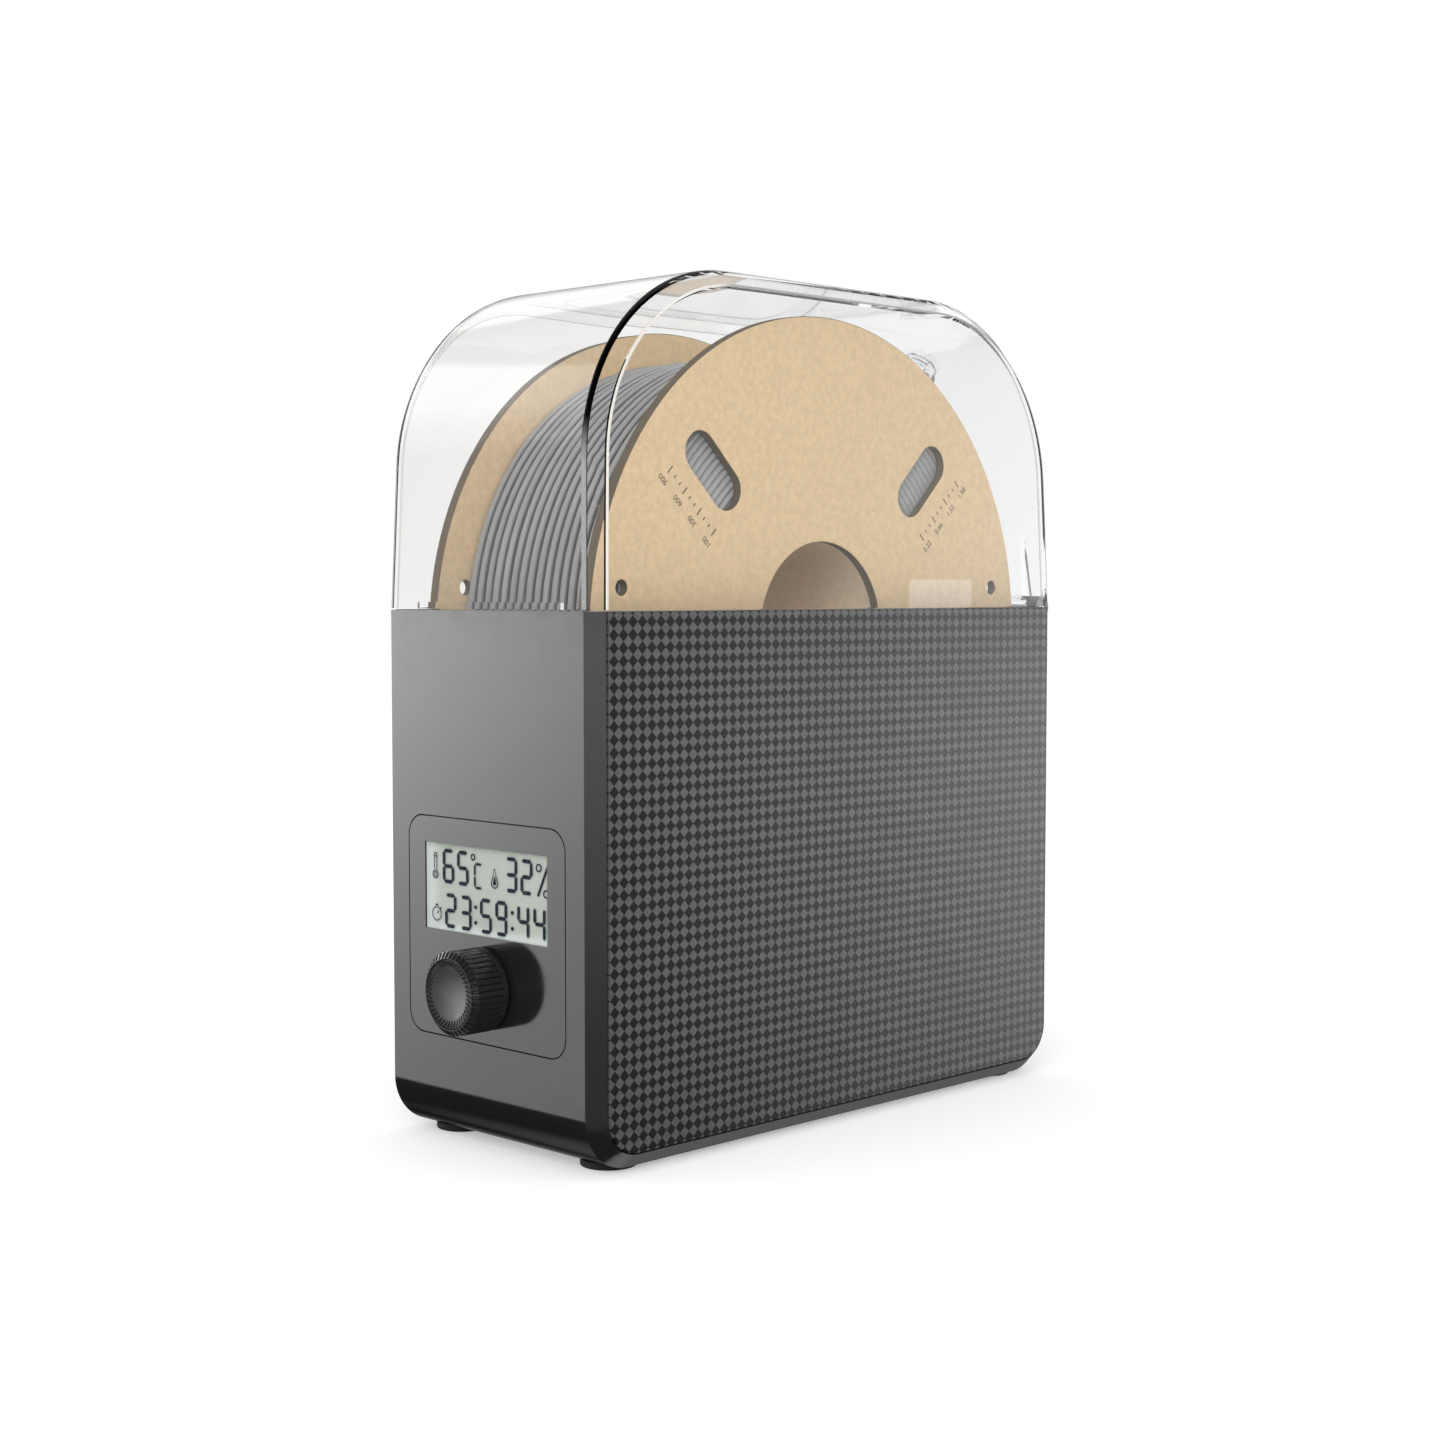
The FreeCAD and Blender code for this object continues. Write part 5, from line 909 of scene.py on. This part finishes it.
class DRYER_OT_spool(bpy.types.Operator):
    """Builds the card spool, its printed scales, its label and the wound filament"""
    bl_idname = "dryer.spool"
    bl_label = "Build Spool"

    def execute(self, context):
        settings = context.scene.dryer_spool
        card = pressed_card("spool_card", settings.card, settings.fleck)
        edge = pressed_card("card_edge", settings.cut_edge, shade(settings.cut_edge, 0.5))
        ink = moulded("scale_print", settings.scale_ink, 0.7, specular_ior_level=0.2)
        for side_name, side in SIDES:
            self.flange(side_name, settings, card, edge)
            self.scale(side_name, side, ink)
        # The tube's card is painted lighter than the flanges' to offset the shade in the hub.
        dress(pressed_card("core_card", settings.core, shade(settings.core, 0.7)), "spool_core")
        dress(pressed_card("label_paper", settings.label, shade(settings.label, 0.9)), "spool_label")
        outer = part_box("filament_winding")[1].z - SPOOL_CENTRE.z + settings.swell
        # The outer strand is painted darker below its crest.
        strand = strand_finish("filament", settings.filament, outer - settings.groove)
        # Painted light: the strands on the sides are a lighter copy of the same filament.
        painted_lighter_side_strand = strand_finish("filament_side_painted_lighter", shade(settings.filament, 1.35), 0.0)
        self.outer_layer(settings, outer, strand)
        self.inner_layers(settings, [painted_lighter_side_strand, strand])
        return {"FINISHED"}

    def flange(self, side_name, settings, card, edge):
        """A card disc whose cut edges show their core."""
        node = f"spool_flange_{side_name}"
        bm = cad_copy(node)
        for face in bm.faces:
            face.material_index = 0 if abs(face.normal.x) > 0.7 else 1
        round_edges(bm, sharp_edges(bm), settings.edge, 1)
        finish_piece(f"card_flange_{side_name}", bm, "spool", [card, edge], [node])

    def scale(self, side_name, side, ink):
        """Ticks and numbers beside the two upper slots of a flange."""
        bm = bmesh.new()
        face_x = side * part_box("spool_flange_right")[1].x
        ticks = 10
        # In millimetres: along the slot, from the slot to the ticks, and on to the numbers
        start, length, beside, beyond = 57, 26, 13.4, 4.2
        scales = ((45.0, -beside, ("0.22", "0.66", "1.32", "1.98")),
                  (135.0, beside, ("100", "300", "600", "900")))
        for angle, offset, numbers in scales:
            turn = Matrix.Rotation(math.radians(angle), 4, "X")
            flip = Matrix.Rotation(math.radians(0 if side > 0 else 180), 4, "Z")
            place = Matrix.Translation((face_x, SPOOL_CENTRE.y, SPOOL_CENTRE.z)) @ flip @ turn
            for step in range(ticks):
                radial = start + length * step / (ticks - 1)
                half = 1.4 if step % 3 == 0 else 0.6
                low = Vector((-0.05, radial - 0.2, offset - half)) * MM
                high = Vector((0.05, radial + 0.2, offset + half)) * MM
                bmesh.ops.transform(bm, matrix=place, verts=block(bm, low, high))
            for index, number in enumerate(numbers):
                radial = start + length * index / (len(numbers) - 1)
                spot = Vector((0.0, radial, offset + math.copysign(beyond, offset))) * MM
                self.printed(bm, number, place @ Matrix.Translation(spot))
        bmesh.ops.recalc_face_normals(bm, faces=bm.faces)
        finish_piece(f"scale_{side_name}", bm, "spool", [ink])

    def printed(self, bm, text, place):
        """A number laid on the flange, reading along the local Y axis."""
        curve = bpy.data.curves.new("scale_number", "FONT")
        curve.body = text
        curve.size = 2.7 * MM
        curve.extrude = 0.04 * MM
        curve.align_x = "CENTER"
        curve.align_y = "CENTER"
        holder = bpy.data.objects.new("scale_number", curve)
        mesh = bpy.data.meshes.new_from_object(holder)
        upright = Matrix(((0, 0, 1, 0), (1, 0, 0, 0), (0, 1, 0, 0), (0, 0, 0, 1)))
        mesh.transform(place @ upright)
        bm.from_mesh(mesh)
        bpy.data.objects.remove(holder)
        bpy.data.curves.remove(curve)
        bpy.data.meshes.remove(mesh)

    def outer_layer(self, settings, outer, strand):
        """One unbroken strand wound from flange to flange, a little uneven from turn to turn."""
        inner_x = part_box("spool_flange_right")[0].x
        steps, radius = 72, settings.strand
        sway_most, drift_most = 0.15 * MM, 0.14 * MM
        end_x = inner_x - radius - 0.1 * MM
        pitch = 2 * end_x / settings.turns
        start = SPOOL_CENTRE + Vector((-end_x, 0.0, outer - radius - sway_most))
        bm = bmesh.new()
        face_on = Matrix.Translation(start) @ Matrix.Rotation(math.radians(90), 4, "X")
        bmesh.ops.create_circle(bm, segments=10, radius=radius, matrix=face_on)
        bmesh.ops.spin(bm, geom=bm.verts[:] + bm.edges[:], cent=(start.x, SPOOL_CENTRE.y, SPOOL_CENTRE.z),
                       axis=ACROSS, dvec=ACROSS * pitch / steps, angle=TURN, steps=steps)
        first_turn = bm.verts[:] + bm.edges[:] + bm.faces[:]
        for index in range(1, settings.turns):
            copy = bmesh.ops.duplicate(bm, geom=first_turn)["geom"]
            verts = [item for item in copy if isinstance(item, bmesh.types.BMVert)]
            bmesh.ops.translate(bm, verts=verts, vec=ACROSS * index * pitch)
        bmesh.ops.remove_doubles(bm, verts=bm.verts, dist=0.01 * MM)
        bmesh.ops.holes_fill(bm, edges=[edge for edge in bm.edges if edge.is_boundary])
        for vert in bm.verts:
            away = Vector((0.0, vert.co.y - SPOOL_CENTRE.y, vert.co.z - SPOOL_CENTRE.z))
            around = math.atan2(away.y, away.z) / TURN
            turn = round((vert.co.x - start.x) / pitch - around) + around
            sway = math.sin(7.3 * turn + 1.1) * math.sin(2.9 * turn)
            vert.co += away.normalized() * sway_most * sway
            inside = min(1.0, max(0.0, 4 - 4 * abs(vert.co.x) / (inner_x - 1.5 * pitch)))
            drift = math.sin(5.1 * turn + 0.4) * math.sin(1.7 * turn)
            vert.co.x += drift_most * inside * drift
        bmesh.ops.recalc_face_normals(bm, faces=bm.faces)
        finish_piece("filament_strand", bm, "spool", [strand], ["filament_winding"])

    def inner_layers(self, settings, strands):
        """The layers below, whose strands show as ridges on both sides through the flanges' slots."""
        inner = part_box("spool_core")[1].z - SPOOL_CENTRE.z + 0.1 * MM
        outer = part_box("filament_core")[1].z - SPOOL_CENTRE.z + settings.swell
        side_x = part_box("spool_flange_right")[0].x - 0.1 * MM
        count = int((outer - inner) / settings.layer)
        pitch = (outer - inner) / count
        points = 5
        ridges = []
        for step in range(count * points + 1):
            part = step / points % 1.0
            sunk = pitch / 2 * (1 - math.sin(math.pi * part) ** 0.7)
            ridges.append((inner + step / points * pitch, side_x - sunk))
        profile = [(radius, -along) for radius, along in ridges] + ridges[::-1]
        profile.append(profile[0])
        least_rim_face = 50 * MM ** 2
        bm = bmesh.new()
        turned(bm, profile, SPOOL_CENTRE, ACROSS, UP, 96)
        # Large faces (the outer and inner cylinders) take the finish with painted groove shade, so the
        # layers' outer cylinder shows as dark shade between the outer strands; the ridges take the lighter
        # side copy.
        for face in bm.faces:
            face.material_index = int(face.calc_area() > least_rim_face)
        finish_piece("filament_layers", bm, "spool", strands, ["filament_core"],
                     sharp=math.radians(70))


class DRYER_OT_insides(bpy.types.Operator):
    """Finishes the pieces inside the base and at its rear"""
    bl_idname = "dryer.insides"
    bl_label = "Finish Insides"

    def execute(self, context):
        settings = context.scene.dryer_inside
        inner = moulded("inner_plastic", settings.inner, 0.5, grain=1100.0, depth=0.04 * MM)
        dress(inner, "chamber_floor", "electronics_cover", "roller_cradle_left", "roller_cradle_right")
        dark = moulded("dark_plastic", settings.dark, 0.42, grain=1600.0, depth=0.02 * MM)
        dress(dark, "heater_duct", "fan_frame", "fan_rotor", "power_inlet", "switch_plunger", "capacitors",
              "roller_spacer_front", "roller_spacer_rear")
        acetal = moulded("roller_acetal", settings.roller, 0.35, mottle=0.04)
        dress(acetal, "roller_front_left", "roller_front_right", "roller_rear_left", "roller_rear_right")
        dress(vented_plastic("sensor_plastic", settings.sensor, 2.0 * MM), "humidity_sensor")
        dress(circuit_board("board_mask", settings.board, settings.copper), "display_board", "power_board")
        dress(wound_tape("transformer_tape", settings.tape), "transformer")
        steel = brushed("steel", settings.steel, 0.28, (0.2, 1.0, 1.0))
        dress(steel, "board_screws", "encoder_body", "encoder_shaft", "fan_screws", "tray_screws",
              "hinge_pins", "roller_shaft_front", "roller_shaft_rear")
        dress(brushed("pin_brass", settings.brass, 0.3, (1.0, 0.2, 1.0)), "inlet_pins")
        dress(brushed("fin_aluminium", settings.aluminium, 0.35, (0.15, 1.0, 1.0)), "heater_core")
        return {"FINISHED"}


class DRYER_OT_stage(bpy.types.Operator):
    """Sets the floor, the studio light and the camera"""
    bl_idname = "dryer.stage"
    bl_label = "Set Stage"

    def execute(self, context):
        settings = context.scene.dryer_stage
        self.floor(settings)
        self.studio(context.scene, settings)
        self.lamp(context.scene, settings)
        self.camera(context.scene, settings)
        context.scene.view_settings.view_transform = "Standard"
        context.scene.cycles.max_bounces = 24
        context.scene.cycles.transmission_bounces = 24
        context.scene.cycles.glossy_bounces = 16
        return {"FINISHED"}

    def floor(self, settings):
        """A pale floor that keeps the shadow and is white to the camera where nothing shades it."""
        mesh = bpy.data.meshes.new("floor")
        bm = bmesh.new()
        bmesh.ops.create_circle(bm, cap_ends=True, segments=96, radius=settings.floor,
                                matrix=Matrix.Translation((0.0, 0.0, -0.2 * MM)))
        bm.to_mesh(mesh)
        bm.free()
        floor = bpy.data.objects.new("floor", mesh)
        bpy.context.scene.collection.objects.link(floor)
        material, tree, shader = new_finish("floor_paper", roughness=1.0, specular_ior_level=0.0)
        pale = settings.floor_pale
        tone = blend_colours(tree, speckle(tree, 30.0), shade(pale, 0.99), pale)
        tree.links.new(tone, shader.inputs["Base Color"])
        lift = combine(tree, "MULTIPLY", seen_rays(tree), settings.floor_lift)
        glow = add_node(tree, "Emission", {"Color": (1.0, 1.0, 1.0, 1.0), "Strength": lift})
        both = add_node(tree, "AddShader", {0: shader.outputs[0], 1: glow.outputs[0]})
        tree.links.new(both.outputs[0], tree.nodes["Material Output"].inputs["Surface"])
        mesh.materials.append(material)
        floor.visible_glossy = False

    def studio(self, scene, settings):
        """An even white dome for light, and a room of walls, cards and softboxes for reflections."""
        world = bpy.data.worlds.new("studio")
        world.use_nodes = True
        tree = world.node_tree
        way = add_node(tree, "TexCoord").outputs["Generated"]
        height = add_node(tree, "SeparateXYZ", {0: way}).outputs["Z"]
        rear_right = self.patch(tree, way, (0.5, 0.866, 0.0), 0.955, 0.998, 1.5)
        room = chain(tree, "ADD", self.walls(tree, way, height), combine(tree, "MULTIPLY", rear_right, 1.7),
                     self.softboxes(tree, way, height, settings))
        lid_level = self.levels(tree, height, ((-0.005, 1.0), (0.02, 0.25), (0.16, 0.25), (0.25, 1.0)))
        lid_level = combine(tree, "MAXIMUM", lid_level, combine(tree, "MULTIPLY", rear_right, 0.7))
        room = combine(tree, "MULTIPLY", room, lid_level)
        path = add_node(tree, "LightPath").outputs
        mirrored = combine(tree, "SUBTRACT", path["Is Glossy Ray"], path["Is Transmission Ray"])
        dome = limits(tree, seen_rays(tree), 0.0, 1.0, settings.dome, 1.0)
        light = add_node(tree, "Mix", {0: mirrored, 2: dome, 3: room}, data_type="FLOAT").outputs[0]
        background = tree.nodes["Background"]
        tree.links.new(light, background.inputs["Strength"])
        background.inputs["Color"].default_value = (1.0, 1.0, 1.0, 1.0)
        scene.world = world

    def patch(self, tree, way, direction, start, full, power=None):
        """Light round a direction, from the cosine where it starts to the one where it is full."""
        ends = {0: way, 1: direction}
        cosine = add_node(tree, "VectorMath", ends, operation="DOT_PRODUCT").outputs["Value"]
        if power is None:
            return limits(tree, cosine, start, full, smooth=True)
        return combine(tree, "POWER", limits(tree, cosine, start, full), power)

    def walls(self, tree, way, height):
        """A banded wall at the left and the rear, dark cloth at the right and a card behind the camera."""
        band = self.levels(tree, height, ((-1.0, 0.9), (-0.9, 0.8), (-0.62, 0.0), (-0.27, 0.0), (-0.235, 1.3),
                                          (0.02, 1.4), (0.1, 1.0), (0.3, 1.0), (0.45, 2.2), (0.6, 2.0),
                                          (0.62, 0.3), (1.0, 0.4)))
        card = self.levels(tree, height, ((-0.2, 0.14), (0.0, 1.1), (0.06, 1.3), (0.1, 2.4), (0.14, 2.4),
                                          (0.17, 0.8), (0.3, 0.3)))
        rearward = add_node(tree, "SeparateXYZ", {0: way}).outputs["Y"]
        rear_wall = limits(tree, rearward, 0.2, 0.7, 0.0, 0.45, smooth=True)
        bright_half = self.patch(tree, way, (0.755, -0.656, 0.0), 0.11, -0.1)
        rear_left = limits(tree, self.patch(tree, way, (-0.7, 0.714, 0.0), 0.5, 0.8), 0.0, 1.0, 1.0, 0.62)
        behind_camera = self.patch(tree, way, (0.707, -0.707, 0.0), 0.8, 0.96)
        wall = combine(tree, "MAXIMUM", band, rear_wall)
        return combine(tree, "ADD", chain(tree, "MULTIPLY", wall, rear_left, bright_half),
                       combine(tree, "MULTIPLY", behind_camera, card))

    def softboxes(self, tree, way, height, settings):
        """Softboxes at the front left, high at the left and ahead of the front."""
        front_left = self.patch(tree, way, (-0.87, -0.46, 0.17), 0.9, 0.985, 2.2)
        below = limits(tree, height, 0.06, 0.0, smooth=True)
        left = self.patch(tree, way, (-0.94, 0.2, 0.27), 0.94, 0.99, 1.5)
        front = self.patch(tree, way, (-0.12, -0.99, -0.08), 0.87, 0.98)
        return chain(tree, "ADD", chain(tree, "MULTIPLY", front_left, below, settings.softbox),
                     combine(tree, "MULTIPLY", left, 4.0), combine(tree, "MULTIPLY", front, 0.8))

    def levels(self, tree, height, stops):
        """Brightness that follows the height of a direction through given stops."""
        node = add_node(tree, "ValToRGB", {0: limits(tree, height, -1.0, 1.0)})
        ramp = node.color_ramp
        ramp.elements.remove(ramp.elements[1])
        for index, (level, glow) in enumerate(stops):
            element = ramp.elements[0] if index == 0 else ramp.elements.new((level + 1) / 2)
            element.position = (level + 1) / 2
            element.color = (glow, glow, glow, 1.0)
        return node.outputs[0]

    def lamp(self, scene, settings):
        """A large soft lamp beside and above the camera."""
        data = bpy.data.lights.new("key_lamp", "AREA")
        data.shape = "DISK"
        data.size = settings.lamp_size
        data.energy = settings.lamp_power
        lamp = bpy.data.objects.new("key_lamp", data)
        lamp.location = settings.lamp
        lamp.rotation_euler = (SPOOL_CENTRE - lamp.location).to_track_quat("-Z", "Y").to_euler()
        lamp.visible_glossy = False
        lamp.visible_transmission = False
        scene.collection.objects.link(lamp)

    def camera(self, scene, settings):
        """The camera, where the photograph was taken from."""
        data = bpy.data.cameras.new("camera")
        data.lens = settings.lens
        data.sensor_width = 36.0
        data.clip_start = 0.01
        data.clip_end = 50.0
        camera = bpy.data.objects.new("camera", data)
        camera.location = settings.camera
        camera.rotation_euler = settings.aim
        scene.collection.objects.link(camera)
        scene.camera = camera


class DRYER_PT_panel(bpy.types.Panel):
    """Lists the pieces and their settings"""
    bl_idname = "DRYER_PT_panel"
    bl_label = "Dryer Box"
    bl_space_type = "VIEW_3D"
    bl_region_type = "UI"
    bl_category = "Dryer Box"

    def draw(self, context):
        for operator in OPERATORS:
            self.layout.operator(operator.bl_idname)
        for name, kind in SETTINGS:
            box = self.layout.box()
            group = getattr(context.scene, name)
            box.label(text=kind.__doc__)
            for setting in kind.__annotations__:
                box.prop(group, setting)


OPERATORS = (DRYER_OT_case, DRYER_OT_lid, DRYER_OT_control_panel, DRYER_OT_knob, DRYER_OT_spool,
             DRYER_OT_insides, DRYER_OT_stage)
SETTINGS = (("dryer_case", CaseSettings), ("dryer_lid", LidSettings), ("dryer_control", ControlSettings),
            ("dryer_spool", SpoolSettings), ("dryer_inside", InsideSettings), ("dryer_stage", StageSettings))


def register():
    """Registers the settings, the operators and the panel."""
    for name, kind in SETTINGS:
        bpy.utils.register_class(kind)
        setattr(bpy.types.Scene, name, bpy.props.PointerProperty(type=kind))
    for operator in OPERATORS:
        bpy.utils.register_class(operator)
    bpy.utils.register_class(DRYER_PT_panel)


def unregister():
    """Takes back what register has registered."""
    bpy.utils.unregister_class(DRYER_PT_panel)
    for operator in reversed(OPERATORS):
        bpy.utils.unregister_class(operator)
    for name, kind in reversed(SETTINGS):
        delattr(bpy.types.Scene, name)
        bpy.utils.unregister_class(kind)


def main():
    """Builds every piece and the stage."""
    register()
    bpy.ops.dryer.case()
    bpy.ops.dryer.lid()
    bpy.ops.dryer.control_panel()
    bpy.ops.dryer.knob()
    bpy.ops.dryer.spool()
    bpy.ops.dryer.insides()
    bpy.ops.dryer.stage()


if __name__ == "__main__":
    main()
